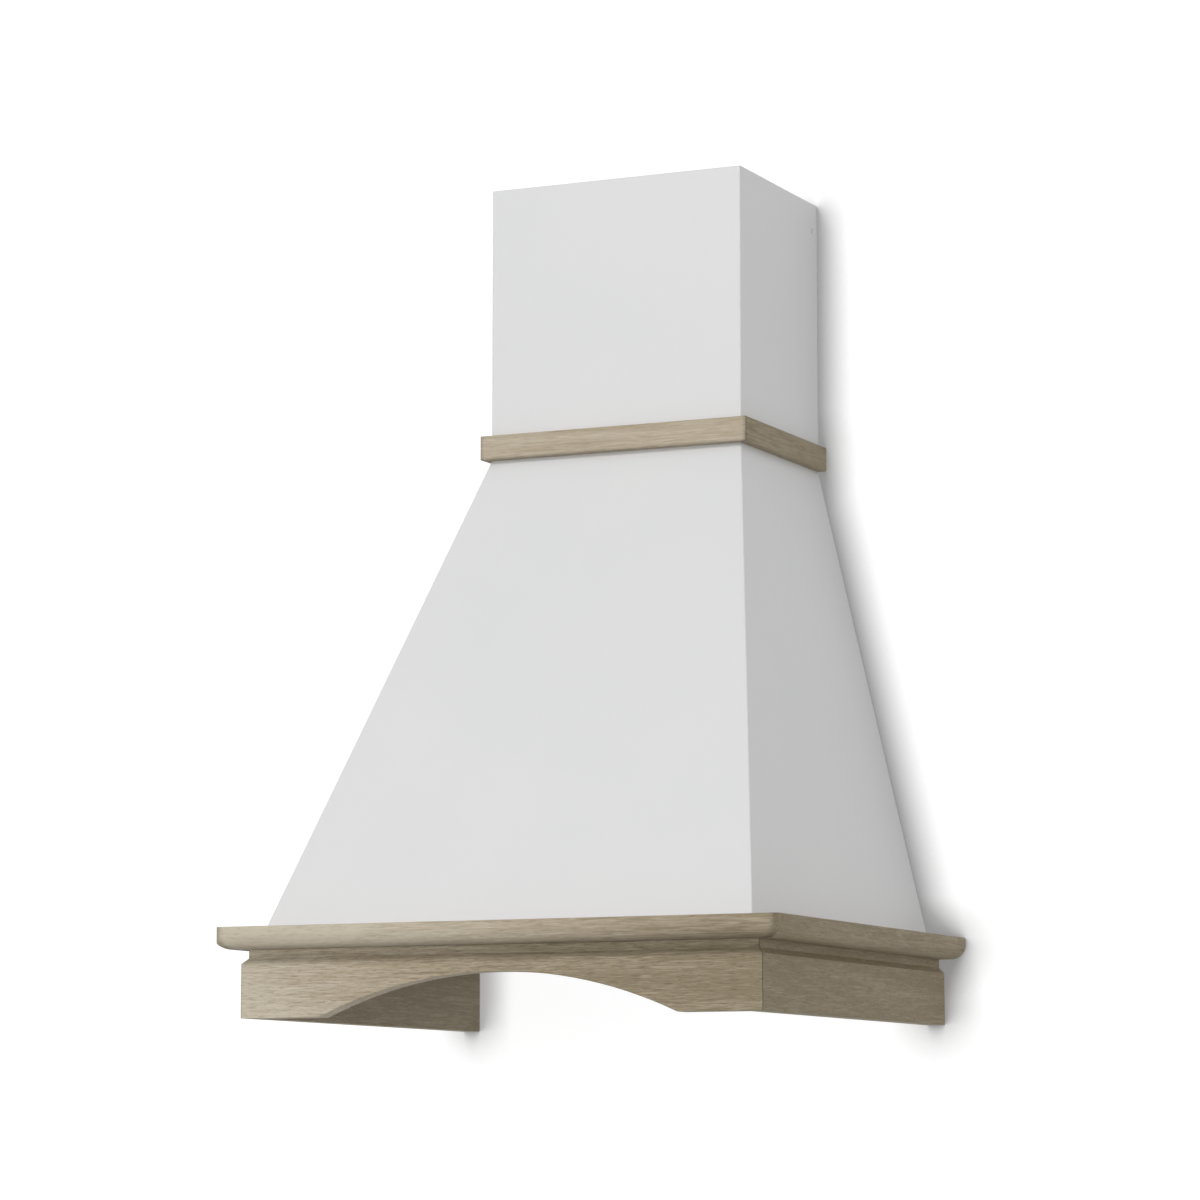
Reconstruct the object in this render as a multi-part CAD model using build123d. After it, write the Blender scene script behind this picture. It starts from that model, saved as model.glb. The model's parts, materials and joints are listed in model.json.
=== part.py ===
from build123d import *
from math import cos, pi, radians, sin, sqrt
import os

# Wall-mounted range hood: an oak base frame and neck trim, a white painted canopy and chimney,
# and the back panel, blower, damper, filters, lamps and controls that they hide.
#
# While the pieces are drawn, X runs to the right, Y into the wall with the wall plane at Y = 0,
# and Z up from the lower edge of the oak boards. The last step moves everything down so that
# the origin is the middle of the four wall slots. Lengths are millimetres, angles degrees.

# Overall size
overall_width = 600.0
overall_depth = 500.0
overall_height = 870.0

# Flat sides of round pieces that repeat or are hidden
lamp_sides = 36
flap_sides = 48
inlet_sides = 48
motor_sides = 24
bush_sides = 12
screw_sides = 6

# Clearances
sliding_gap = 0.3
running_gap = 0.06
screw_hole_gap = 0.4
pilot_gap = 0.05
drop_in_gap = 1.0

# Oak boards
board_thickness = 20.0
board_face_height = 53.0
neck_recess = 5.5
neck_height = 8.5
arch_span = 380.0
arch_rise = 41.0

# Oak nosing planks
nosing_thickness = 22.0
nosing_width = 75.0
nosing_overhang_side = 23.5
nosing_overhang_front = 17.0
nosing_lower_radius = 15.0
nosing_upper_radius = 2.0
nosing_corner_radius = 12.0

# Loose tenons between boards and nosing
tenon_thickness = 6.0
tenon_length = 30.0
tenon_depth = 14.0
tenon_end_gap = 0.5
front_tenon_count = 4
front_tenon_pitch = 140.0
side_tenon_count = 3
side_tenon_pitch = 150.0

# Painted steel canopy
sheet = 1.0
fold_radius = 1.5
canopy_height = 494.5
canopy_setback_side = 41.0
canopy_setback_front = 34.5
canopy_flange = 18.0
canopy_back_flange = 25.0
canopy_upstand = 22.0
canopy_front_screw_count = 3
canopy_front_screw_pitch = 180.0
canopy_side_screw_count = 2
canopy_side_screw_pitch = 280.0

# Painted steel chimney
chimney_width = 282.0
chimney_depth = 208.5
chimney_back_flange = 20.0

# Oak neck trim
trim_height = 25.5
trim_thickness = 9.0
trim_edge_radius = 1.5
trim_corner_radius = 2.0
trim_screw_bite = 6.0
trim_screw_spread_front = 160.0
trim_screw_spread_side = 90.0

# Fasteners
screw_radius = 1.75
screw_head_width = 7.0
screw_head_height = 2.8
wood_screw_length = 15.0
stud_radius = 2.0
stud_length = 8.0
nut_width = 7.0
nut_height = 3.2

# Back panel, with slots for the wall screws
panel_sheet = 1.2
panel_ledge_depth = 15.0
slot_radius = 4.0
slot_length = 20.0
slot_spacing_x = 220.0
slot_spacing_z = 320.0
slot_centre_height = 340.0
canopy_stud_count = 3
canopy_stud_pitch = 160.0

# Chimney wall bracket
bracket_sheet = 1.5
bracket_height = 25.0
bracket_drop = 17.0
bracket_wall_width = 220.0
bracket_step = 4.0
bracket_tab_depth = 45.0
bracket_screw_reach = 14.0
bracket_hole_radius = 3.0
bracket_hole_spacing = 160.0
bracket_screw_length = 6.0
low_head_radius = 3.0
low_head_height = 1.2

# Base pan
pan_recess = 5.0
control_strip_depth = 86.0
pan_rear_margin = 17.0
pan_side_margin = 12.0
pan_centre_bar = 12.0
pan_screw_inset = 25.0

# Grease filters
filter_thickness = 9.0
filter_skin = 1.0
filter_border = 14.0
filter_tab_width = 22.0
filter_tab_reach = 6.0
filter_tab_sheet = 1.2
filter_tab_spread = 120.0
mesh_thickness = 1.2
mesh_columns = 6
mesh_rows = 9
mesh_strand = 4.0

# Filter latches
latch_pad_width = 64.0
latch_pad_depth = 36.0
latch_body_width = 36.0
latch_body_length = 26.0
latch_body_height = 3.0
latch_bolt_width = 20.0
latch_bolt_reach = 4.5
latch_travel = 6.0
latch_grip_width = 28.0
latch_grip_depth = 3.0
latch_grip_drop = 6.0
latch_grip_setback = 11.0
spring_strip = 0.4
spring_height = 5.0
spring_half_length = 14.0

# Lamps
lamp_spacing = 300.0
lamp_bezel_radius = 34.0
lamp_bezel_height = 2.5
lamp_window_radius = 24.0
lamp_lens_radius = 28.5
lamp_lens_thickness = 3.0
heat_sink_width = 56.0
heat_sink_base = 5.0
heat_sink_height = 24.0
fin_count = 7
fin_thickness = 2.0

# Controls
button_names = ["light_button", "off_button", "low_speed_button", "mid_speed_button", "high_speed_button"]
button_pitch = 22.0
button_length = 16.0
button_depth = 12.0
button_proud = 4.0
button_travel = 3.0
button_shoulder = 1.0
button_shoulder_height = 2.0
button_stem_half = 3.0
button_stem_length = 13.0
button_edge_chamfer = 1.2
control_end_margin = 11.0
control_side_margin = 11.0
control_bezel_height = 3.0
control_bezel_corner_radius = 5.0
control_boss_wall = 2.0
control_boss_height = 9.0
switch_block_height = 22.0

# Blower: scroll, impeller and motor
plenum_gap = 34.0
blower_rear_gap = 33.0
impeller_radius = 95.0
impeller_width = 130.0
impeller_side_gap = 7.0
blade_count = 20
blade_chord = 19.0
blade_lead = 8.0
blade_belly = 0.2
blade_thickness = 1.5
impeller_disc = 2.5
impeller_ring_width = 14.0
impeller_ring_height = 3.0
hub_radius = 13.0
hub_length = 36.0
shaft_radius = 4.0
tongue_gap = 8.0
scroll_growth = 15.0
scroll_wall = 2.5
outlet_depth = 123.0
throat_height = 90.0
inlet_radius = 80.0
seam_lug_width = 10.0
seam_lug_height = 4.0
scroll_flange_margin = 19.0
motor_radius = 46.0
motor_gap = 4.0
bracket_plate = 2.0
bracket_arm_seat = 12.0
bracket_arm_width = 14.0
bracket_arm_count = 3
bracket_disc_radius = 40.0
bracket_cable_radius = 12.0
motor_screw_circle = 26.0
motor_screw_bite = 6.0

# Blower plate and its rubber mounts
plate_sheet = 1.5
plate_margin = 18.0
plate_upstand = 30.0
plate_side_low = 10.0
plate_stud_spacing = 160.0
plate_stud_height = 16.0
grommet_radius = 8.0
grommet_height = 6.0
grommet_inset = 10.0
gasket_width = 7.0
blower_screw_tip = 2.0

# Outlet collar and damper
spigot_radius = 74.5
spigot_wall = 2.5
spigot_height = 45.0
collar_flange_width = 16.0
collar_flange_height = 2.5
damper_height = 12.0
damper_pin_radius = 1.5
pin_end_skin = 0.5
flap_sheet = 1.2
flap_edge_gap = 1.5
knuckle_half = 3.0
knuckle_length = 10.0
front_knuckle_spacing = 100.0
rear_knuckle_spacing = 70.0
flap_stop_width = 8.0
flap_stop_depth = 5.0
flap_stop_height = 4.0

# Junction box
box_left = 108.0
box_foot = 205.0
box_width = 72.0
box_height = 70.0
box_depth = 38.0
box_wall = 2.0
box_lid_height = 4.0
box_lid_lip = 3.0
gland_radius = 9.0
gland_neck_radius = 6.5
gland_dome_radius = 8.0
gland_bore_radius = 4.5
gland_nut_height = 6.0
gland_dome_height = 10.0

# Heights of the main levels
board_height = board_face_height + neck_recess + neck_height
nosing_top = board_height + nosing_thickness
canopy_top = nosing_top + canopy_height
upstand_top = canopy_top + canopy_upstand
pan_face = board_height + pan_recess
filter_top = pan_face + filter_thickness

# Plan of the oak frame
nosing_half = overall_width / 2
board_half = nosing_half - nosing_overhang_side
board_front = -(overall_depth - nosing_overhang_front)
opening_half = nosing_half - nosing_width
opening_front = -(overall_depth - nosing_width)
tenon_inset = (neck_recess + board_thickness) / 2

# Plan of the canopy and chimney
canopy_back = -panel_sheet
canopy_base_half = nosing_half - canopy_setback_side
canopy_base_front = -(overall_depth - canopy_setback_front)
chimney_half = chimney_width / 2
side_slope = (canopy_base_half - chimney_half) / canopy_height
front_slope = (-chimney_depth - canopy_base_front) / canopy_height
upstand_half = chimney_half - sheet - sliding_gap
upstand_front = -chimney_depth + sheet + sliding_gap

# Plan of the pan and its filter bays
ledge_front = -(panel_sheet + panel_ledge_depth)
pan_half = opening_half - drop_in_gap
pan_front = opening_front + drop_in_gap
pan_rear = ledge_front - drop_in_gap
rim_half = canopy_base_half - canopy_flange - drop_in_gap
rim_front = canopy_base_front + canopy_flange + drop_in_gap
rim_rear = canopy_back - sheet - drop_in_gap
bay_inner = pan_centre_bar / 2
bay_outer = pan_half - pan_side_margin
bay_front = pan_front + control_strip_depth
bay_rear = pan_rear - pan_rear_margin
strip_centre = (pan_front + bay_front) / 2

# One filter, on the right
frame_inner = bay_inner + drop_in_gap
frame_outer = bay_outer - drop_in_gap
frame_front = bay_front + drop_in_gap
frame_rear = bay_rear - drop_in_gap
filter_centre = (frame_inner + frame_outer) / 2
channel_floor = pan_face + filter_skin
latch_floor = pan_face + sheet + sliding_gap
latch_front = frame_front + filter_skin + sliding_gap
latch_rear = latch_front + latch_body_length
latch_wall = frame_front + latch_pad_depth - filter_skin

# Blower layout. The scroll is three growing arcs about the impeller's axis, then a straight throat.
first_arc = impeller_radius + tongue_gap + scroll_growth / 3
second_arc = first_arc + scroll_growth
third_arc = second_arc + scroll_growth
arc_shift = scroll_growth / 3
scroll_half = impeller_width / 2 + impeller_side_gap
scroll_reach_below = second_arc + arc_shift + scroll_wall + seam_lug_width
scroll_reach_rear = third_arc + scroll_growth - arc_shift
axis_height = filter_top + plenum_gap + scroll_reach_below
throat_rear = -(panel_sheet + blower_rear_gap + scroll_wall)
axis_depth = throat_rear - scroll_reach_rear
tongue_depth = throat_rear - outlet_depth
scroll_top = axis_height + first_arc + throat_height
outlet_centre = (throat_rear + tongue_depth) / 2
spigot_bore = spigot_radius - spigot_wall
scroll_flange_half = spigot_bore + scroll_flange_margin
plate_underside = scroll_top + grommet_height
plate_top = plate_underside + plate_sheet
collar_base = plate_top + collar_flange_height
spigot_top = collar_base + spigot_height
damper_level = collar_base + damper_height
flap_hinge_offset = knuckle_half * sqrt(2) + sliding_gap
bracket_face = scroll_half + scroll_wall
plate_half = scroll_flange_half + plate_margin
plate_front = outlet_centre - plate_half


def canopy_half(height):
    """Half width of the canopy's outside at a height."""
    return canopy_base_half - side_slope * (height - nosing_top)


def canopy_front(height):
    """Y of the canopy's outside front at a height."""
    return canopy_base_front + front_slope * (height - nosing_top)


def block(x0, x1, y0, y1, z0, z1):
    """A block between two opposite corners."""
    middle = Pos((x0 + x1) / 2, (y0 + y1) / 2, (z0 + z1) / 2)
    return middle * Box(x1 - x0, y1 - y0, z1 - z0)


def plan_prism(points, z0, z1):
    """A plan outline raised from one height to another."""
    return Pos(0, 0, z0) * extrude(make_face(Polyline(*points, close=True)), z1 - z0)


def wall_prism(points, y0, y1):
    """An outline of (x, z) points run from y0 back to y1."""
    outline = Plane.XZ.offset(-y1) * make_face(Polyline(*points, close=True))
    return extrude(outline, y1 - y0)


def plan_face(x0, x1, y0, y1):
    """A flat rectangle in plan."""
    return Pos((x0 + x1) / 2, (y0 + y1) / 2) * Rectangle(x1 - x0, y1 - y0)


def rounded_plate(x0, x1, y0, y1, z0, z1, radius):
    """A plate with rounded corners in plan."""
    outline = RectangleRounded(x1 - x0, y1 - y0, radius)
    return Pos((x0 + x1) / 2, (y0 + y1) / 2, z0) * extrude(outline, z1 - z0)


def across(outline, half):
    """An outline in (y, z) run equally to both sides of the middle."""
    return extrude(Plane.YZ * outline, half, both=True)


def disc(radius, z0, z1):
    """An upright cylinder between two heights."""
    return Pos(0, 0, (z0 + z1) / 2) * Cylinder(radius, z1 - z0)


def mirrored(piece):
    """The same piece on the other side of the middle."""
    return mirror(piece, about=Plane.YZ)


def at(places, piece):
    """Copies of a piece, one at each (point, direction), its -Z along the direction."""
    copies = []
    for point, direction in places:
        seat = Plane(origin=point, z_dir=-Vector(*direction))
        copies.append(seat * piece)
    return Part() + copies


def sided(sides, radius, z0, z1):
    """An upright rod with flat sides."""
    return Pos(0, 0, z0) * extrude(RegularPolygon(radius, sides), z1 - z0)


def six_sided(radius, z0, z1):
    """An upright hexagonal rod, for screws, studs and their holes."""
    return sided(screw_sides, radius, z0, z1)


def screw_holes(places, clearance, depth, lead):
    """Holes for a screw at each (point, direction), from lead before the point to depth past it."""
    return at(places, six_sided(screw_radius + clearance, -depth, lead))


def stud_holes(places, depth, lead):
    """Holes for a welded stud at each (point, direction)."""
    return at(places, six_sided(stud_radius + screw_hole_gap, -depth, lead))


def hex_screw(length):
    """A hexagon-headed screw with its seat at the origin and its shank down."""
    head = six_sided(screw_head_width / 2, 0, screw_head_height)
    return head + six_sided(screw_radius, -length, 0)


def evenly(count, pitch, middle):
    """Positions spaced evenly about a middle."""
    return [middle + (index - (count - 1) / 2) * pitch for index in range(count)]


DOWN = (0, 0, -1)
UP = (0, 0, 1)
FRONT = (0, -1, 0)
LEFT = (-1, 0, 0)
RIGHT = (1, 0, 0)


# Oak base frame


def board_profile():
    """Section of a board: (distance in from its face, height), with the routed neck on top."""
    chamfer_top = board_face_height + neck_recess
    points = [
        (0, 0),
        (board_thickness, 0),
        (board_thickness, board_height),
        (neck_recess, board_height),
        (neck_recess, chamfer_top),
        (0, board_face_height),
    ]
    return make_face(Polyline(*points, close=True))


def nosing_profile():
    """Section of a nosing plank, with a bold round below and a small one above its nose."""
    section = Pos(nosing_width / 2, board_height + nosing_thickness / 2)
    section *= Rectangle(nosing_width, nosing_thickness)
    nose = section.vertices().group_by(Axis.X)[0].sort_by(Axis.Y)
    section = fillet(nose[0], nosing_lower_radius)
    nose = section.vertices().sort_by_distance((0, board_height + nosing_thickness))
    return fillet(nose[0], nosing_upper_radius)


def trim_profile():
    """Section of the neck trim, its two outer edges eased."""
    section = Pos(trim_thickness / 2, canopy_top + trim_height / 2)
    section *= Rectangle(trim_thickness, trim_height)
    return fillet(section.vertices().group_by(Axis.X)[0], trim_edge_radius)


def mitred_front(profile, half, front, width):
    """A front member run along X, its ends mitred."""
    run = Plane((0, front, 0), x_dir=(0, 1, 0), z_dir=(1, 0, 0)) * profile
    inner = front + width
    corners = [(-half, front), (half, front), (half - width, inner), (-half + width, inner)]
    return extrude(run, half, both=True) & plan_prism(corners, 0, overall_height)


def mitred_right(profile, half, front, width):
    """A right-hand member run from the wall to the front, its front end mitred."""
    run = Plane((half, 0, 0), x_dir=(-1, 0, 0), z_dir=(0, 1, 0)) * profile
    corners = [(half, front), (half, 0), (half - width, 0), (half - width, front + width)]
    return extrude(run, front) & plan_prism(corners, 0, overall_height)


def corner_rounder(half, front, radius):
    """A tall block whose upright front corners are rounded, to trim a mitred corner."""
    outline = RectangleRounded(2 * half, -2 * front, radius)
    return extrude(outline, overall_height)


def tenons(clearance, depth):
    """Flat tenons along the front board and down each side board, or the mortises for them."""
    front_y = board_front + tenon_inset
    side_x = board_half - tenon_inset
    half_length = tenon_length / 2 + clearance
    half_thickness = tenon_thickness / 2 + clearance
    z0 = board_height - depth
    z1 = board_height + depth
    pieces = []
    for x in evenly(front_tenon_count, front_tenon_pitch, 0):
        pieces.append(block(x - half_length, x + half_length, front_y - half_thickness,
                            front_y + half_thickness, z0, z1))
    for y in evenly(side_tenon_count, side_tenon_pitch, board_front / 2):
        side = block(side_x - half_thickness, side_x + half_thickness, y - half_length,
                     y + half_length, z0, z1)
        pieces += [side, mirrored(side)]
    return Part() + pieces


def frame_tenons():
    return tenons(0, tenon_depth)


def mortises():
    """Slots for the tenons, cut in both the boards and the nosing."""
    return tenons(pilot_gap, tenon_depth + tenon_end_gap)


def arch_cut():
    """The arch under the front board: a circle through the two ends and the crown."""
    arch_radius = (arch_span**2 / 4 + arch_rise**2) / (2 * arch_rise)
    seat = Plane((0, board_front, arch_rise - arch_radius), z_dir=(0, 1, 0))
    return seat * Pos(0, 0, board_thickness / 2) * Cylinder(arch_radius, 2 * board_thickness)


def front_board():
    board = mitred_front(board_profile(), board_half, board_front, board_thickness)
    return board - arch_cut() - mortises()


def right_board():
    return mitred_right(board_profile(), board_half, board_front, board_thickness) - mortises()


def nosing_holes():
    """Mortises and the screw holes for the canopy and the pan."""
    screws = screw_holes(canopy_screw_places() + pan_wood_screw_places(), pilot_gap,
                         wood_screw_length + pilot_gap, 0)
    return mortises() + screws


def front_nosing():
    plank = mitred_front(nosing_profile(), nosing_half, -overall_depth, nosing_width)
    return plank & corner_rounder(nosing_half, -overall_depth, nosing_corner_radius)


def right_nosing():
    plank = mitred_right(nosing_profile(), nosing_half, -overall_depth, nosing_width)
    return plank & corner_rounder(nosing_half, -overall_depth, nosing_corner_radius)


# Painted canopy and chimney


def canopy_screw_places():
    """Screws down through the canopy's bottom flange into the nosing."""
    seat = nosing_top + sheet
    side_x = canopy_base_half - canopy_flange / 2
    front_y = canopy_base_front + canopy_flange / 2
    front_row = evenly(canopy_front_screw_count, canopy_front_screw_pitch, 0)
    places = [((x, front_y, seat), DOWN) for x in front_row]
    for y in evenly(canopy_side_screw_count, canopy_side_screw_pitch, canopy_base_front / 2):
        places += [((-side_x, y, seat), DOWN), ((side_x, y, seat), DOWN)]
    return places


def canopy_stud_points():
    """Middles (x, z) of the studs that hold the canopy's back flanges."""
    points = []
    for height in evenly(canopy_stud_count, canopy_stud_pitch, slot_centre_height):
        x = canopy_half(height) - sheet - canopy_back_flange / 2
        points += [(-x, height), (x, height)]
    return points


def trim_screw_places():
    """Screws from inside the neck, out through upstand and chimney into the trim."""
    height = canopy_top + trim_height / 2
    inside_front = upstand_front + sheet
    inside_half = upstand_half - sheet
    places = [((x, inside_front, height), FRONT) for x in evenly(2, trim_screw_spread_front, 0)]
    for y in evenly(2, trim_screw_spread_side, -chimney_depth / 2):
        places += [((-inside_half, y, height), LEFT), ((inside_half, y, height), RIGHT)]
    return places


def canopy_cone(inset_sides, inset_front, back, foot, head):
    """A frustum set in from the canopy's slopes, made from its front and side views."""
    foot_half = canopy_half(foot) - inset_sides
    head_half = canopy_half(head) - inset_sides
    front_view = [(-foot_half, foot), (foot_half, foot), (head_half, head), (-head_half, head)]
    foot_front = canopy_front(foot) + inset_front
    head_front = canopy_front(head) + inset_front
    side_view = [(foot_front, foot), (back, foot), (back, head), (head_front, head)]
    side_prism = across(make_face(Polyline(*side_view, close=True)), foot_half)
    return wall_prism(front_view, foot_front, back) & side_prism


def folded_front(form):
    """The two upright front corners eased, as where sheet is folded."""
    upright = form.edges().filter_by(lambda edge: edge.bounding_box().size.Z > fold_radius)
    return fillet(upright.group_by(Axis.Y)[0], fold_radius)


def canopy_shell():
    """Three sloping walls, back flanges, a bottom flange and a joggled upstand at the neck."""
    shell = folded_front(canopy_cone(0, 0, canopy_back, nosing_top, canopy_top))
    side_wall = sheet * sqrt(1 + side_slope**2)
    front_wall = sheet * sqrt(1 + front_slope**2)
    shell -= canopy_cone(side_wall, front_wall, canopy_back - sheet, nosing_top + sheet, canopy_top - sheet)
    shell += block(-upstand_half, upstand_half, upstand_front, canopy_back, canopy_top - sheet, upstand_top)
    inner_half = upstand_half - sheet
    shell -= block(-inner_half, inner_half, upstand_front + sheet, canopy_back - sheet,
                   canopy_top - 2 * sheet, upstand_top)
    mouth_half = canopy_base_half - canopy_flange
    shell -= block(-mouth_half, mouth_half, canopy_base_front + canopy_flange, canopy_back - sheet,
                   nosing_top, nosing_top + sheet)
    foot_half = canopy_base_half - canopy_back_flange
    head_half = chimney_half - canopy_back_flange
    opening = [(-foot_half, nosing_top), (foot_half, nosing_top), (head_half, canopy_top),
               (head_half, upstand_top), (-head_half, upstand_top), (-head_half, canopy_top)]
    shell -= wall_prism(opening, canopy_back - 2 * sheet, canopy_back)
    shell -= screw_holes(canopy_screw_places(), screw_hole_gap, 2 * sheet, sheet)
    studs = [((x, canopy_back, z), FRONT) for x, z in canopy_stud_points()]
    shell -= stud_holes(studs, 2 * sheet, sheet)
    return shell - screw_holes(trim_screw_places(), screw_hole_gap, 2 * sheet, sheet)


def canopy_screws():
    return at(canopy_screw_places(), hex_screw(wood_screw_length))


def bracket_screw_places():
    """Screws through the chimney's sides into the tabs of the wall bracket."""
    height = overall_height - bracket_drop - bracket_height / 2
    return [((-chimney_half, -bracket_screw_reach, height), RIGHT),
            ((chimney_half, -bracket_screw_reach, height), LEFT)]


def chimney_cover():
    """A U-shaped cover with back flanges, open at both ends."""
    cover = folded_front(block(-chimney_half, chimney_half, -chimney_depth, 0, canopy_top, overall_height))
    inner_half = chimney_half - sheet
    cover -= block(-inner_half, inner_half, -chimney_depth + sheet, -sheet, canopy_top, overall_height)
    gap_half = chimney_half - chimney_back_flange
    cover -= block(-gap_half, gap_half, -2 * sheet, 0, canopy_top, overall_height)
    cover -= screw_holes(trim_screw_places(), screw_hole_gap, 4 * sheet, sheet)
    return cover - screw_holes(bracket_screw_places(), screw_hole_gap, 2 * sheet, sheet)


def chimney_bracket():
    """A bent strap: flat on the wall, stepped forward past the flanges, tabs inside the sides."""
    tab_x = chimney_half - sheet - sliding_gap - bracket_sheet / 2
    wall_y = -bracket_sheet / 2
    step_y = wall_y - bracket_step
    wall_half = bracket_wall_width / 2
    right_half = [(wall_half, wall_y), (wall_half + bracket_step, step_y), (tab_x, step_y),
                  (tab_x, -bracket_tab_depth)]
    left_half = [(-x, y) for x, y in reversed(right_half)]
    strap = trace(Polyline(*left_half, *right_half), bracket_sheet)
    foot = overall_height - bracket_drop - bracket_height
    strap = Pos(0, 0, foot) * extrude(strap, bracket_height)
    holes = [((x, 0, foot + bracket_height / 2), FRONT) for x in evenly(2, bracket_hole_spacing, 0)]
    strap -= at(holes, disc(bracket_hole_radius, -2 * bracket_sheet, bracket_sheet))
    return strap - screw_holes(bracket_screw_places(), pilot_gap, 4 * bracket_sheet, 0)


def chimney_screws():
    head = six_sided(low_head_radius, 0, low_head_height)
    screw = head + six_sided(screw_radius, -bracket_screw_length, 0)
    return at(bracket_screw_places(), screw)


# Oak neck trim


def trim_holes():
    """Blind screw holes from the back of the trim."""
    depth = 2 * sheet + sliding_gap + trim_screw_bite + pilot_gap
    return screw_holes(trim_screw_places(), pilot_gap, depth, 0)


def neck_trim_front():
    outer_half = chimney_half + trim_thickness
    outer_front = -(chimney_depth + trim_thickness)
    batten = mitred_front(trim_profile(), outer_half, outer_front, trim_thickness)
    return (batten & corner_rounder(outer_half, outer_front, trim_corner_radius)) - trim_holes()


def neck_trim_right():
    outer_half = chimney_half + trim_thickness
    outer_front = -(chimney_depth + trim_thickness)
    batten = mitred_right(trim_profile(), outer_half, outer_front, trim_thickness)
    return (batten & corner_rounder(outer_half, outer_front, trim_corner_radius)) - trim_holes()


def trim_screws():
    return at(trim_screw_places(), hex_screw(2 * sheet + sliding_gap + trim_screw_bite))


# Back panel


def plate_stud_points():
    """Middles (x, z) of the studs that hold the blower plate's upstand."""
    return [(x, plate_top + plate_stud_height) for x in evenly(2, plate_stud_spacing, 0)]


def wall_slots():
    """Four slots, long way level, for the screws into the wall."""
    slot = Plane.XZ * extrude(SlotOverall(slot_length, 2 * slot_radius), 2 * panel_sheet, both=True)
    cuts = []
    for x in evenly(2, slot_spacing_x, 0):
        for z in evenly(2, slot_spacing_z, slot_centre_height):
            cuts.append(Pos(x, 0, z) * slot)
    return Part() + cuts


def back_panel():
    """A sheet that closes the canopy's back, with a ledge for the pan and welded studs."""
    foot_half = canopy_base_half - sliding_gap
    head_half = chimney_half - sliding_gap
    outline = [(-foot_half, nosing_top), (foot_half, nosing_top), (head_half, canopy_top - sliding_gap),
               (-head_half, canopy_top - sliding_gap)]
    panel = wall_prism(outline, -panel_sheet, 0)
    ledge_half = opening_half - drop_in_gap
    panel += block(-ledge_half, ledge_half, ledge_front, 0, nosing_top - panel_sheet, nosing_top)
    panel -= wall_slots()
    studs = [((x, -panel_sheet, z), FRONT) for x, z in canopy_stud_points() + plate_stud_points()]
    panel -= screw_holes(pan_ledge_screw_places(), pilot_gap, 3 * sheet, 0)
    return panel + at(studs, six_sided(stud_radius, -stud_length, 0))


def back_panel_nuts():
    """Nuts on the welded studs, over the canopy's flanges and the blower plate's upstand."""
    nut = six_sided(nut_width / 2, -nut_height, 0) - six_sided(stud_radius + running_gap, -nut_height, 0)
    on_canopy = [((x, canopy_back - sheet, z), FRONT) for x, z in canopy_stud_points()]
    on_plate = [((x, canopy_back - plate_sheet, z), FRONT) for x, z in plate_stud_points()]
    return at(on_canopy + on_plate, nut)


# Base pan


def pan_wood_screw_places():
    """Screws down through the pan's rim into the front and side nosing."""
    seat = nosing_top + sheet
    side_x = (pan_half + rim_half) / 2
    front_y = (pan_front + rim_front) / 2
    spread = 2 * (pan_half - pan_screw_inset)
    places = [((x, front_y, seat), DOWN) for x in evenly(2, spread, 0)]
    for y in (pan_front + pan_screw_inset, pan_rear - pan_screw_inset):
        places += [((-side_x, y, seat), DOWN), ((side_x, y, seat), DOWN)]
    return places


def pan_ledge_screw_places():
    """Screws down through the pan's rear rim into the ledge of the back panel."""
    seat = nosing_top + sheet
    rear_y = (ledge_front + rim_rear) / 2
    return [((x, rear_y, seat), DOWN) for x in evenly(2, pan_half, 0)]


def base_pan():
    """A pressed tray: rim on the nosing, well down to the face with its cut-outs."""
    rim_level = nosing_top
    rim_z = rim_level + sheet
    pan = block(-pan_half, pan_half, pan_front, pan_rear, pan_face, rim_z)
    pan += block(-rim_half, rim_half, rim_front, rim_rear, rim_level, rim_z)
    inner_half = pan_half - sheet
    pan -= block(-inner_half, inner_half, pan_front + sheet, pan_rear - sheet, pan_face + sheet, rim_z)
    bay = block(bay_inner, bay_outer, bay_front, bay_rear, pan_face, pan_face + sheet)
    pan -= bay + mirrored(bay)
    lamp_hole = sided(lamp_sides, lamp_lens_radius + sliding_gap, pan_face, pan_face + sheet)
    pan -= [Pos(x, strip_centre, 0) * lamp_hole for x in evenly(2, lamp_spacing, 0)]
    pan -= control_boss(sliding_gap, pan_face, pan_face + sheet)
    screws = pan_wood_screw_places() + pan_ledge_screw_places()
    return pan - screw_holes(screws, screw_hole_gap, 2 * sheet, sheet)


def pan_screws():
    into_wood = at(pan_wood_screw_places(), hex_screw(wood_screw_length))
    return into_wood + at(pan_ledge_screw_places(), hex_screw(2 * sheet + panel_sheet))


# Grease filters and their latches, drawn on the right-hand side


def latch_pad(clearance, z0, z1):
    """The widened middle of the filter's front border, where the latch lives."""
    half = latch_pad_width / 2 + clearance
    return block(filter_centre - half, filter_centre + half, frame_front,
                 frame_front + latch_pad_depth + clearance, z0, z1)


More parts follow.
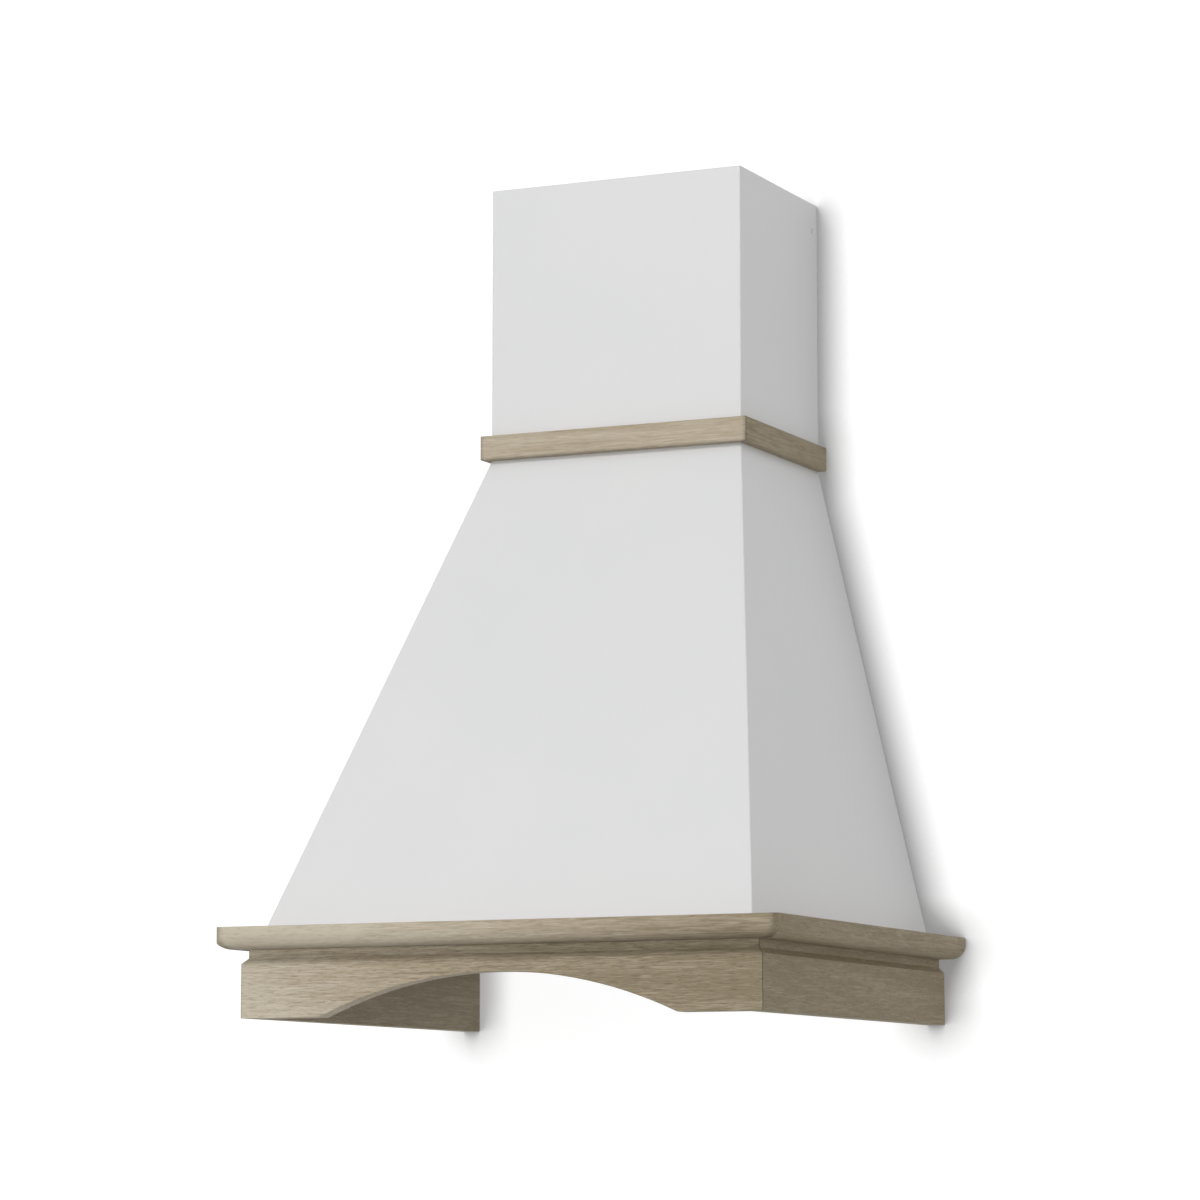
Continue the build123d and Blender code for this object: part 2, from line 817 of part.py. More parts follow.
def filter_frame():
    """A channel border with a widened latch pad, two rear tabs and slots for bolt and grip."""
    frame = block(frame_inner, frame_outer, frame_front, frame_rear, pan_face, filter_top)
    frame -= block(frame_inner + filter_skin, frame_outer - filter_skin, frame_front + filter_skin,
                   frame_rear - filter_skin, channel_floor, filter_top - filter_skin)
    window = block(frame_inner + filter_border, frame_outer - filter_border,
                   frame_front + filter_border, frame_rear - filter_border, pan_face, filter_top)
    frame -= window - latch_pad(0, pan_face, filter_top)
    spring_wall_half = latch_body_width / 2
    frame += block(filter_centre - spring_wall_half, filter_centre + spring_wall_half, latch_wall,
                   latch_wall + filter_skin, pan_face, filter_top)
    bolt_half = latch_bolt_width / 2 + sliding_gap
    frame -= block(filter_centre - bolt_half, filter_centre + bolt_half, frame_front,
                   frame_front + filter_skin, latch_floor - sliding_gap,
                   latch_floor + latch_body_height + sliding_gap)
    grip_half = latch_grip_width / 2 + drop_in_gap
    grip_front = latch_front + latch_grip_setback - drop_in_gap
    grip_rear = latch_front + latch_grip_setback + latch_grip_depth + latch_travel + drop_in_gap
    frame -= block(filter_centre - grip_half, filter_centre + grip_half, grip_front, grip_rear,
                   pan_face, channel_floor)
    tab_floor = pan_face + sheet + sliding_gap
    for x in evenly(2, filter_tab_spread, filter_centre):
        frame += block(x - filter_tab_width / 2, x + filter_tab_width / 2, frame_rear - filter_skin,
                       bay_rear + filter_tab_reach, tab_floor, tab_floor + filter_tab_sheet)
    return frame


def mesh_gap(width, length):
    """One diamond gap of the expanded metal."""
    points = [(-width / 2, 0), (0, -length / 2), (width / 2, 0), (0, length / 2)]
    return make_face(Polyline(*points, close=True))


def filter_mesh():
    """Expanded metal that lies in the channel, with staggered rows of diamond gaps."""
    x0 = frame_inner + filter_skin + sliding_gap
    x1 = frame_outer - filter_skin - sliding_gap
    y0 = frame_front + filter_skin + sliding_gap
    y1 = frame_rear - filter_skin - sliding_gap
    sheet_face = plan_face(x0, x1, y0, y1)
    pad_half = latch_pad_width / 2 + sliding_gap
    sheet_face -= plan_face(filter_centre - pad_half, filter_centre + pad_half, y0,
                            frame_front + latch_pad_depth + sliding_gap)
    column = (x1 - x0 - 2 * filter_border) / mesh_columns
    row = (y1 - y0 - 2 * filter_border - latch_pad_depth) / mesh_rows
    first_y = frame_front + latch_pad_depth + filter_border
    diamond = mesh_gap(column - mesh_strand, 2 * row - 2 * mesh_strand)
    gaps = []
    for index in range(mesh_rows):
        staggered = index % 2
        count = mesh_columns - staggered
        for x in evenly(count, column, filter_centre):
            gaps.append(Pos(x, first_y + index * row) * diamond)
    sheet_face -= gaps
    return Pos(0, 0, channel_floor) * extrude(sheet_face, mesh_thickness)


def filter_latch():
    """A sliding bolt with a finger grip through the underside of the filter."""
    half = latch_body_width / 2
    roof = latch_floor + latch_body_height
    latch = block(filter_centre - half, filter_centre + half, latch_front, latch_rear, latch_floor, roof)
    bolt_half = latch_bolt_width / 2
    latch += block(filter_centre - bolt_half, filter_centre + bolt_half, bay_front - latch_bolt_reach,
                   latch_front, latch_floor, roof)
    grip_half = latch_grip_width / 2
    grip_front = latch_front + latch_grip_setback
    grip = block(filter_centre - grip_half, filter_centre + grip_half, grip_front,
                 grip_front + latch_grip_depth, pan_face - latch_grip_drop, latch_floor)
    lower_edges = grip.edges().filter_by(Axis.X).group_by(Axis.Z)[0]
    return latch + chamfer(lower_edges, latch_grip_depth / 3)


def latch_spring():
    """A flat spring bent up from its two feet to a crown that bears on the latch."""
    seat_y = latch_wall - spring_strip
    crown_y = latch_rear + spring_strip
    crown_half = spring_half_length / 3
    bends = [(filter_centre - spring_half_length, seat_y), (filter_centre - crown_half, crown_y),
             (filter_centre + crown_half, crown_y), (filter_centre + spring_half_length, seat_y)]
    return Pos(0, 0, latch_floor) * extrude(trace(Polyline(*bends), spring_strip), spring_height)


# Lamps, drawn about their own axis on the right-hand side


def lamp_place():
    return Pos(lamp_spacing / 2, strip_centre, 0)


def lamp_bezel():
    """A ring under the pan, with a window smaller than the lens."""
    foot = pan_face - lamp_bezel_height
    bezel = sided(lamp_sides, lamp_bezel_radius, foot, pan_face)
    return lamp_place() * (bezel - sided(lamp_sides, lamp_window_radius, foot, pan_face))


def lamp_lens():
    """A disc in the pan's hole that rests on the bezel."""
    return lamp_place() * sided(lamp_sides, lamp_lens_radius, pan_face, pan_face + lamp_lens_thickness)


def lamp_body():
    """The light board's heat sink on the back of the lens: a base with upright fins."""
    foot = pan_face + lamp_lens_thickness
    half = heat_sink_width / 2
    body = block(-half, half, -half, half, foot, foot + heat_sink_base)
    pitch = (heat_sink_width - fin_thickness) / (fin_count - 1)
    fin_half = fin_thickness / 2
    for x in evenly(fin_count, pitch, 0):
        body += block(x - fin_half, x + fin_half, -half, half, foot, foot + heat_sink_height)
    return lamp_place() * body


# Controls


def control_half_length():
    """Half length of the bezel's boss, round all the buttons."""
    return (len(button_names) - 1) * button_pitch / 2 + button_length / 2 + control_boss_wall * 2


def control_half_depth():
    """Half depth of the bezel's boss."""
    return button_depth / 2 + control_boss_wall * 2


def control_boss(clearance, z0, z1):
    """The bezel's boss, or the hole for it."""
    half_x = control_half_length() + clearance
    half_y = control_half_depth() + clearance
    return block(-half_x, half_x, strip_centre - half_y, strip_centre + half_y, z0, z1)


def button_places():
    return [Pos(x, strip_centre, 0) for x in evenly(len(button_names), button_pitch, 0)]


def control_bezel():
    """A face plate with five windows, and a boss up through the pan."""
    half_x = control_half_length() + control_end_margin
    half_y = control_half_depth() + control_side_margin
    foot = pan_face - control_bezel_height
    boss_top = pan_face + control_boss_height
    bezel = rounded_plate(-half_x, half_x, strip_centre - half_y, strip_centre + half_y, foot, pan_face,
                          control_bezel_corner_radius)
    bezel = chamfer(bezel.edges().group_by(Axis.Z)[0], control_bezel_height / 3)
    bezel += control_boss(0, pan_face, boss_top)
    bezel -= control_boss(-control_boss_wall, pan_face, boss_top)
    half_length = button_length / 2 + sliding_gap
    half_depth = button_depth / 2 + sliding_gap
    window = block(-half_length, half_length, -half_depth, half_depth, foot, pan_face)
    return bezel - [place * window for place in button_places()]


def switch_block():
    """The switch housing on the boss, with a guide hole for each button's stem."""
    foot = pan_face + control_boss_height
    housing = control_boss(0, foot, foot + switch_block_height)
    stem_top = pan_face + sliding_gap + button_shoulder_height + button_stem_length
    half = button_stem_half + sliding_gap
    hole = block(-half, half, -half, half, foot, stem_top + button_travel + sliding_gap)
    return housing - [place * hole for place in button_places()]


def push_button(place):
    """A cap through the bezel's window, a shoulder behind it and a stem into the switch."""
    cap_foot = pan_face - control_bezel_height - button_proud
    shoulder_foot = pan_face + sliding_gap
    shoulder_top = shoulder_foot + button_shoulder_height
    half_x = button_length / 2
    half_y = button_depth / 2
    cap = block(-half_x, half_x, -half_y, half_y, cap_foot, shoulder_foot)
    cap = chamfer(cap.edges().group_by(Axis.Z)[0], button_edge_chamfer)
    wide_x = half_x + button_shoulder
    wide_y = half_y + button_shoulder
    cap += block(-wide_x, wide_x, -wide_y, wide_y, shoulder_foot, shoulder_top)
    half = button_stem_half
    cap += block(-half, half, -half, half, shoulder_top, shoulder_top + button_stem_length)
    return place * cap


# Blower


def scroll_outline():
    """The scroll's inner outline in (y, z): three growing arcs, then the throat's two walls."""
    first = Vector(axis_depth - arc_shift, axis_height - arc_shift)
    second = first + Vector(scroll_growth, 0)
    third = second + Vector(0, scroll_growth)
    tongue_rise = sqrt(first_arc**2 - (tongue_depth - first.X) ** 2)
    tongue = Vector(tongue_depth, first.Y + tongue_rise)
    diagonal = sqrt(0.5)
    front = first + Vector(-first_arc, 0)
    bottom = second + Vector(0, -second_arc)
    rear = third + Vector(third_arc, 0)
    over_top = first + Vector(-diagonal, diagonal) * first_arc
    under_front = second + Vector(-diagonal, -diagonal) * second_arc
    under_rear = third + Vector(diagonal, -diagonal) * third_arc
    walls = [
        ThreePointArc(tongue, over_top, front),
        ThreePointArc(front, under_front, bottom),
        ThreePointArc(bottom, under_rear, rear),
        Line(rear, (throat_rear, scroll_top)),
        Line((throat_rear, scroll_top), (tongue_depth, scroll_top)),
        Line((tongue_depth, scroll_top), tongue),
    ]
    return make_face(walls)


def along_axis(piece):
    """A piece drawn upright about Z, laid on the impeller's axis with its +Z to the right."""
    seat = Plane((0, axis_depth, axis_height), x_dir=(0, 1, 0), z_dir=(1, 0, 0))
    return seat * piece


def scroll_screw_points():
    """Middles (y, z) of the screws through the lugs along the seam."""
    reach = scroll_wall + seam_lug_width / 2
    front = axis_depth - arc_shift - first_arc - reach
    bottom = axis_height - arc_shift - second_arc - reach
    rear = throat_rear + reach
    upper = (axis_height + scroll_top) / 2
    return [(front, axis_height), (axis_depth, bottom), (rear, axis_height), (rear, upper)]


def bracket_arm_angles():
    """Angles of the bracket's arms, each with a screw in the scroll and one in the motor."""
    return [360 / bracket_arm_count * index for index in range(bracket_arm_count)]


def throat_hole(clearance, z0, z1):
    """The oblong of the scroll's outlet, between two heights."""
    return block(-scroll_half - clearance, scroll_half + clearance, tongue_depth - clearance,
                 throat_rear + clearance, z0, z1)


def scroll_housing():
    """The whole scroll: walls, inlets, a flange round its outlet and lugs along its seam."""
    inner = scroll_outline()
    housing = across(offset(inner, scroll_wall), scroll_half + scroll_wall)
    lug_half = scroll_wall + seam_lug_width / 2
    for y, z in scroll_screw_points():
        housing += block(-seam_lug_height, seam_lug_height, y - lug_half, y + lug_half,
                         z - lug_half, z + lug_half)
    housing += block(-scroll_flange_half, scroll_flange_half, outlet_centre - scroll_flange_half,
                     outlet_centre + scroll_flange_half, scroll_top - scroll_wall, scroll_top)
    housing -= throat_hole(2 * scroll_wall, scroll_top, scroll_top + 2 * scroll_wall)
    housing -= across(inner, scroll_half)
    housing -= along_axis(sided(inlet_sides, inlet_radius, -overall_width / 2, overall_width / 2))
    seam = [((-scroll_half, y, z), RIGHT) for y, z in scroll_screw_points()]
    housing -= screw_holes(seam, pilot_gap, 2 * scroll_half, 0)
    return housing - screw_holes(grommet_places(), screw_hole_gap, 2 * scroll_wall, scroll_wall)


def scroll_half_part(housing, side):
    """One half of the scroll, on the side given by a sign."""
    far = side * overall_width
    half = housing & block(min(0, far), max(0, far), -overall_depth, 0, 0, overall_height)
    if side > 0:
        half -= screw_holes(arm_screw_places(), pilot_gap, 2 * scroll_wall, 0)
    return half


def scroll_screws():
    seam = [((seam_lug_height, y, z), LEFT) for y, z in scroll_screw_points()]
    return at(seam, hex_screw(2 * seam_lug_height))


def blade_outline():
    """One forward-bent blade as a thin bent band about the axis."""
    outer = impeller_radius * cos(pi / blade_count) - blade_thickness
    inner = outer - blade_chord
    middle = (inner + outer) / 2
    lag = radians(blade_lead * blade_belly)
    lead = radians(blade_lead)
    tip = (outer * cos(lead), outer * sin(lead))
    line = Polyline((inner, 0), (middle * cos(lag), middle * sin(lag)), tip)
    return trace(line, blade_thickness)


def impeller():
    """A double-inlet wheel: blades through a middle disc, a ring at each end and a hub."""
    half = impeller_width / 2
    ring_foot = half - impeller_ring_height
    blade = extrude(blade_outline(), ring_foot, both=True)
    blades = [Rot(0, 0, 360 / blade_count * index) * blade for index in range(blade_count)]
    end_ring = sided(blade_count, impeller_radius, ring_foot, half)
    end_ring -= sided(blade_count, impeller_radius - impeller_ring_width, ring_foot, half)
    wheel = sided(blade_count, impeller_radius, -impeller_disc / 2, impeller_disc / 2)
    wheel += [end_ring, mirror(end_ring, about=Plane.XY)]
    wheel += blades
    wheel += sided(bush_sides, hub_radius, -hub_length / 2, hub_length / 2)
    wheel -= disc(shaft_radius + running_gap, -hub_length / 2, hub_length / 2)
    return along_axis(wheel)


def motor_front():
    """Distance of the motor's front face from the middle."""
    return hub_length / 2 + motor_gap


def impeller_shaft():
    """From the far end of the hub to the middle of the motor."""
    reach = (motor_front() + bracket_face) / 2
    return along_axis(disc(shaft_radius, -hub_length / 2, reach))


def motor():
    """A can bored for the shaft and drilled for its fixing screws."""
    body = sided(motor_sides, motor_radius, motor_front(), bracket_face)
    reach = (motor_front() + bracket_face) / 2
    body -= disc(shaft_radius + running_gap, motor_front(), reach + sliding_gap)
    screw_depth = bracket_plate + motor_screw_bite + pilot_gap
    return along_axis(body) - screw_holes(motor_screw_places(), pilot_gap, screw_depth, 0)


def on_bracket(radius, angle):
    """A point on the bracket's outer face at a radius and angle about the axis."""
    turn = radians(angle)
    y = axis_depth + radius * cos(turn)
    z = axis_height + radius * sin(turn)
    return (bracket_face + bracket_plate, y, z)


def arm_screw_places():
    """Screws from the ends of the bracket's arms into the side of the scroll."""
    circle = inlet_radius + bracket_arm_seat / 2
    return [(on_bracket(circle, angle), LEFT) for angle in bracket_arm_angles()]


def motor_screw_places():
    """Screws from the bracket's disc into the motor."""
    return [(on_bracket(motor_screw_circle, angle), LEFT) for angle in bracket_arm_angles()]


def motor_bracket():
    """A disc that carries the motor, on three arms that span the scroll's inlet."""
    foot = bracket_face
    head = bracket_face + bracket_plate
    bracket = sided(bush_sides, bracket_disc_radius, foot, head)
    arm = block(bracket_disc_radius / 2, inlet_radius + bracket_arm_seat, -bracket_arm_width / 2,
                bracket_arm_width / 2, foot, head)
    bracket += [Rot(0, 0, angle) * arm for angle in bracket_arm_angles()]
    bracket -= sided(bush_sides, bracket_cable_radius, foot, head)
    places = arm_screw_places() + motor_screw_places()
    return along_axis(bracket) - screw_holes(places, screw_hole_gap, 2 * bracket_plate, bracket_plate)


def motor_screws():
    arm_screws = at(arm_screw_places(), hex_screw(bracket_plate + scroll_wall))
    return arm_screws + at(motor_screw_places(), hex_screw(bracket_plate + motor_screw_bite))


# Blower plate, rubber mounts, collar and damper


def grommet_places():
    """Screw seats under the scroll's flange, one at each corner."""
    reach = scroll_flange_half - grommet_inset
    places = []
    for x in (-reach, reach):
        for y in (outlet_centre - reach, outlet_centre + reach):
            places.append(((x, y, scroll_top - scroll_wall), UP))
    return places


def blower_screw_length():
    """From under the scroll's flange, through grommet, plate and collar."""
    return scroll_wall + grommet_height + plate_sheet + collar_flange_height + blower_screw_tip


def blower_plate():
    """A shelf with an upstand on the back panel and tapering side flanges."""
    plate = block(-plate_half, plate_half, plate_front, canopy_back, plate_underside, plate_top)
    upstand_foot = canopy_back - plate_sheet
    plate += block(-plate_half, plate_half, upstand_foot, canopy_back, plate_top, plate_top + plate_upstand)
    side = [(canopy_back, plate_top), (canopy_back, plate_top + plate_upstand),
            (plate_front, plate_top + plate_side_low), (plate_front, plate_top)]
    seat = Plane.YZ.offset(plate_half - plate_sheet)
    flange = extrude(seat * make_face(Polyline(*side, close=True)), plate_sheet)
    plate += [flange, mirrored(flange)]
    plate -= throat_hole(0, plate_underside, plate_top)
    studs = [((x, canopy_back, z), FRONT) for x, z in plate_stud_points()]
    plate -= stud_holes(studs, 2 * plate_sheet, plate_sheet)
    return plate - screw_holes(grommet_places(), screw_hole_gap, blower_screw_length(), 0)


def blower_grommets():
    """Rubber bushes between the scroll's flange and the plate."""
    foot = -scroll_wall - grommet_height
    bush = sided(bush_sides, grommet_radius, foot, -scroll_wall)
    bush -= six_sided(screw_radius + screw_hole_gap, foot, -scroll_wall)
    return at(grommet_places(), bush)


def blower_screws():
    return at(grommet_places(), hex_screw(blower_screw_length()))


def outlet_gasket():
    """A foam frame between the scroll's outlet and the plate."""
    frame = throat_hole(sliding_gap + gasket_width, scroll_top, plate_underside)
    return frame - throat_hole(sliding_gap, scroll_top, plate_underside)


def flap_floor():
    """Underside of a closed damper flap."""
    return damper_level - flap_sheet / 2


def outlet_collar():
    """A round spigot on a square flange, with blind holes for the pin and a stop under each flap."""
    collar = disc(spigot_radius, plate_top, spigot_top)
    flange_half = spigot_radius + collar_flange_width
    collar += block(-flange_half, flange_half, -flange_half, flange_half, plate_top, collar_base)
    collar -= disc(spigot_bore, plate_top, spigot_top)
    stop_top = flap_floor()
    for side in (-1, 1):
        inner = side * (spigot_bore - flap_stop_depth)
        outer = side * (spigot_bore + spigot_wall / 2)
        collar += block(-flap_stop_width / 2, flap_stop_width / 2, min(inner, outer), max(inner, outer),
                        stop_top - flap_stop_height, stop_top)
    collar = Pos(0, outlet_centre, 0) * collar
    collar -= damper_axis() * disc(damper_pin_radius + pilot_gap, -spigot_radius + pin_end_skin,
                                   spigot_radius - pin_end_skin)
    return collar - screw_holes(grommet_places(), pilot_gap, blower_screw_length(), 0)


def damper_axis():
    """The damper pin's line: upright pieces laid along it, +Z to the right."""
    return Pos(0, outlet_centre, damper_level) * Rot(0, 90, 0)


def damper_pin():
    reach = spigot_radius - pin_end_skin - pilot_gap
    return damper_axis() * disc(damper_pin_radius, -reach, reach)


def damper_flap(knuckle_spacing, side):
    """Half a disc that stops clear of the other flap's knuckles, with two knuckles of its own.

    The side is -1 for the front flap and 1 for the rear one.
    """
    radius = spigot_bore - flap_edge_gap
    sheet_half = flap_sheet / 2
    near = side * flap_hinge_offset
    far = side * spigot_radius
    blade = sided(flap_sides, radius, -sheet_half, sheet_half)
    flap = blade & block(-radius, radius, min(near, far), max(near, far), -sheet_half, sheet_half)
    half_length = knuckle_length / 2
    reach = knuckle_half
    for x in evenly(2, knuckle_spacing, 0):
        flap += block(x - half_length, x + half_length, min(near, 0), max(near, 0), -sheet_half, sheet_half)
        flap += block(x - half_length, x + half_length, -reach, reach, -reach, reach)
    flap = Pos(0, outlet_centre, damper_level) * flap
    return flap - damper_axis() * disc(damper_pin_radius + running_gap, -spigot_radius, spigot_radius)


# Junction box on the back panel


def box_shell(inset, back, front):
    """A box on the back panel, set in from the junction box's outside."""
    outline = Rectangle(box_width - 2 * inset, box_height - 2 * inset)
    middle = (box_left + box_width / 2, back, box_foot + box_height / 2)
    return extrude(Plane(middle, x_dir=(1, 0, 0), z_dir=FRONT) * outline, back - front)


def junction_box():
    """An open-fronted box with a hole in its top for the cable gland."""
    front = canopy_back - box_depth
    box = box_shell(0, canopy_back, front) - box_shell(box_wall, canopy_back - box_wall, front)
    return box - gland_place() * six_sided(gland_neck_radius, -2 * box_wall, box_wall)


def junction_box_lid():
    """A lid with a lip inside the box."""
    front = canopy_back - box_depth
    lid = box_shell(0, front, front - box_lid_height)
    lip_inset = box_wall + sliding_gap
    lip_back = front + box_lid_lip
    lip = box_shell(lip_inset, lip_back, front) - box_shell(lip_inset + box_wall, lip_back, front)
    return lid + lip


def gland_place():
    """The middle of the box's top, where the cable gland stands."""
    return Pos(box_left + box_width / 2, canopy_back - box_depth / 2, box_foot + box_height)


def cable_gland():
    """A neck through the box, a hexagon and a cap, bored for the cable."""
    gland = six_sided(gland_neck_radius - sliding_gap, -2 * box_wall, 0)
    gland += six_sided(gland_radius, 0, gland_nut_height)
    dome_top = gland_nut_height + gland_dome_height
    gland += sided(bush_sides, gland_dome_radius, gland_nut_height, dome_top)
    return gland_place() * (gland - disc(gland_bore_radius, -2 * box_wall, dome_top))


# All the pieces, by name


def oak_pieces():
    holes = nosing_holes()
    side_board = right_board()
    side_nosing = right_nosing() - holes
    side_trim = neck_trim_right()
    return {
        "front_board": front_board(),
        "left_board": mirrored(side_board),
        "right_board": side_board,
        "front_nosing": front_nosing() - holes,
        "left_nosing": mirrored(side_nosing),
        "right_nosing": side_nosing,
        "frame_tenons": frame_tenons(),
        "neck_trim_front": neck_trim_front(),
        "neck_trim_left": mirrored(side_trim),
        "neck_trim_right": side_trim,
        "trim_screws": trim_screws(),
    }


def steel_pieces():
    return {
        "canopy_shell": canopy_shell(),
        "canopy_screws": canopy_screws(),
        "chimney_cover": chimney_cover(),
        "chimney_bracket": chimney_bracket(),
        "chimney_screws": chimney_screws(),
        "back_panel": back_panel(),
        "back_panel_nuts": back_panel_nuts(),
        "base_pan": base_pan(),
        "pan_screws": pan_screws(),
    }


def paired_pieces():
    makers = {
        "filter_frame": filter_frame,
        "filter_mesh": filter_mesh,
        "filter_latch": filter_latch,
        "latch_spring": latch_spring,
        "lamp_bezel": lamp_bezel,
        "lamp_lens": lamp_lens,
        "lamp_body": lamp_body,
    }
    pieces = {}
    for name, make in makers.items():
        right = make()
        pieces[name + "_left"] = mirrored(right)
        pieces[name + "_right"] = right
    return pieces


def control_pieces():
    pieces = {"control_bezel": control_bezel(), "switch_block": switch_block()}
    for name, place in zip(button_names, button_places()):
        pieces[name] = push_button(place)
    return pieces


def blower_pieces():
    housing = scroll_housing()
    return {
        "scroll_left": scroll_half_part(housing, -1),
        "scroll_right": scroll_half_part(housing, 1),
        "scroll_screws": scroll_screws(),
        "impeller": impeller(),
        "impeller_shaft": impeller_shaft(),
        "motor": motor(),
        "motor_bracket": motor_bracket(),
        "motor_screws": motor_screws(),
        "blower_plate": blower_plate(),
        "blower_grommets": blower_grommets(),
        "blower_screws": blower_screws(),
        "outlet_gasket": outlet_gasket(),
        "outlet_collar": outlet_collar(),
        "damper_flap_front": damper_flap(front_knuckle_spacing, -1),
        "damper_flap_rear": damper_flap(rear_knuckle_spacing, 1),
        "damper_pin": damper_pin(),
    }


def electrical_pieces():
    return {
        "junction_box": junction_box(),
        "junction_box_lid": junction_box_lid(),
        "cable_gland": cable_gland(),
    }


def main():
    os.makedirs("parts", exist_ok=True)
    groups = [oak_pieces, steel_pieces, paired_pieces, control_pieces, blower_pieces, electrical_pieces]
    to_origin = Pos(0, 0, -slot_centre_height)
    for group in groups:
        for name, piece in group().items():
            export_step(to_origin * piece, f"parts/{name}.step")


main()
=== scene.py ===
"""Looks for the wall-mounted range hood: oak, white paint, metals, plastics, wall, light and camera."""
import json
import math

import bpy
from mathutils import Matrix, Vector


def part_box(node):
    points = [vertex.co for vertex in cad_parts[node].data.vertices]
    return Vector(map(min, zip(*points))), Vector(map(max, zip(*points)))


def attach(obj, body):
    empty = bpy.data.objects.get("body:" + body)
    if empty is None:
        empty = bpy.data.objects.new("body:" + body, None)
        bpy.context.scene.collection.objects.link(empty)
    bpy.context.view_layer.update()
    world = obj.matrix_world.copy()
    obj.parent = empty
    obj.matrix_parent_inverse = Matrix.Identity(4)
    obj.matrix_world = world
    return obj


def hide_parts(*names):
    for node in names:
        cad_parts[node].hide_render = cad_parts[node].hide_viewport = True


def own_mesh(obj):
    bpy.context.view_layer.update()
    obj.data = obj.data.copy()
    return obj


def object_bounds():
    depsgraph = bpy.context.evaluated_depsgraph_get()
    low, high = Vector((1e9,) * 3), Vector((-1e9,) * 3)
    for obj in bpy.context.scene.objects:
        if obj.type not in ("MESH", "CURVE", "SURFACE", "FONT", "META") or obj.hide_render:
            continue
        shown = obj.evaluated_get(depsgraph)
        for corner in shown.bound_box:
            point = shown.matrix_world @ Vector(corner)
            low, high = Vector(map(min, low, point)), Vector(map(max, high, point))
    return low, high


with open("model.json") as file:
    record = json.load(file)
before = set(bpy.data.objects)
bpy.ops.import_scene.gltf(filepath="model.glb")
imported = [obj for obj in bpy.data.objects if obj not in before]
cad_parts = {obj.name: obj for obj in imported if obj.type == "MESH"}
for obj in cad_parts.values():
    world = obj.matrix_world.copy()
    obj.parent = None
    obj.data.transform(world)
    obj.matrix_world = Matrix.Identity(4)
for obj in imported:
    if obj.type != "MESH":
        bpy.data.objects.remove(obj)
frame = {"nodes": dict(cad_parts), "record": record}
cad_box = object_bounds()
nodes = frame["nodes"]

# Row axes, and millimetres in a metre
WIDE = 0
DEEP = 1
HIGH = 2
MM_PER_M = 1000

# Camera, fitted to corners of the hood in the photograph: metres, degrees, and millimetres of lens
CAMERA_PLACE = (1.797, -4.121, -0.476)
CAMERA_TURN = 24.87
CAMERA_PITCH = 7.49
CAMERA_LENS = 127.5
CAMERA_SENSOR = 36.0

# Stage, in metres; a lift is the glow that a camera sees
WALL_GAP = 0.0015
WALL_HALF = 6.0
WALL_COLOUR = (0.25, 0.25, 0.25)
WALL_LIFT = 0.90
FLOOR_DROP = 0.75
FLOOR_COLOUR = (0.62, 0.62, 0.615)
FLOOR_LIFT = 0.30

# Shade on the wall: round the hood, and in the hollow under it beside the boards
CONTACT_REACH = 0.044
CONTACT_TONE = 0.22
CONTACT_OPENNESS = 0.5
CONTACT_SAMPLES = 16
HOLLOW_REACH = 0.044
HOLLOW_TONE = 0.40

# Light: the world as it falls on the hood and as it is seen, and area lights by name, place, aim,
# size and watts
WORLD_LIGHT = 0.48
WORLD_SEEN = 1.0
STUDIO_LIGHTS = (
    ("key", (-0.95, -4.5, 2.9), (0, -0.2, 0.0), 1.4, 70.0),
    ("front", (-0.5, -4.6, -0.1), (0, -0.2, 0.0), 0.8, 31.0),
    ("right_fill", (3.6, -1.2, 0.3), (0, -0.2, 0.0), 2.0, 12.0),
    ("rear", (0.0, 4.6, -0.4), (0, -0.1, 0.0), 1.6, 26.0),
)

# Oak: linear colours from pale to dark, and how early its darkness drifts along a board
OAK_PALE = (0.62, 0.550, 0.435)
OAK_MIDDLE = (0.460, 0.386, 0.280)
OAK_DARK = (0.288, 0.236, 0.150)
OAK_DRIFT = 0.5

# Oak grain: noise scales along and across it, and the noise values between which each mark rises
FIGURE_WAVES = (2.2, 30.0)
FIGURE_RISE = (0.25, 0.75)
FIGURE_SWING = 0.22
STREAK_WAVES = (24.0, 460.0)
STREAK_RISE = (0.32, 0.68)
PORE_WAVES = (90.0, 760.0)
PORE_RISE = (0.51, 0.66)
PORE_DEPTH = 0.7

# Darker lines on the oak, in metres: corners as (tone, width), a dark mitre joint that is widened at the
# nosing into painted shade of its rounded corner; and painted shade lines along a level, under the nosing
# and on the lower edges of nosing and trim
FINE_MITRE = (0.55, 0.0012)
# At the nosing the dark mitre joint is widened into painted shade of the rounded corner
NOSING_CORNER_JOINT_AND_SHADE = (0.66, 0.0075)
TRIM_CORNER = (0.66, 0.004)
UNDERSIDE_SHADE_TONE = 0.70
BOARD_SHADE_LINE_HEIGHT = 0.0565
BOARD_SHADE_LINE_WIDTH = 0.007
NOSING_SHADE_LINE_WIDTH = 0.0045
TRIM_SHADE_LINE_WIDTH = 0.003

# Other finishes: linear colours, and how much darker a finish is in its low spots
WHITE = (0.80, 0.80, 0.80)
WHITE_LOW = (0.785, 0.787, 0.790)
ZINC = (0.62, 0.64, 0.65)
ZINC_LOW = (0.53, 0.55, 0.56)
GLASS = (0.92, 0.92, 0.90)
GLASS_LOW = (0.84, 0.84, 0.82)
BRUSHED_LOW = 0.86
PLATED_LOW = 0.85
PLASTIC_LOW = 0.9
SCRATCH_WAVES = (6.0, 900.0)
BEVEL_SAMPLES = 4

# Sockets of a Mix node that mixes colours
MIX_INPUTS = (0, 6, 7)
MIX_RESULT = 2

# Corners of a square, and a bar's six faces by its eight corners
SQUARE = ((-1, -1), (1, -1), (1, 1), (-1, 1))
BAR_FACES = ((0, 1, 5, 4), (1, 2, 6, 5), (2, 3, 7, 6), (3, 0, 4, 7), (3, 2, 1, 0), (4, 5, 6, 7))

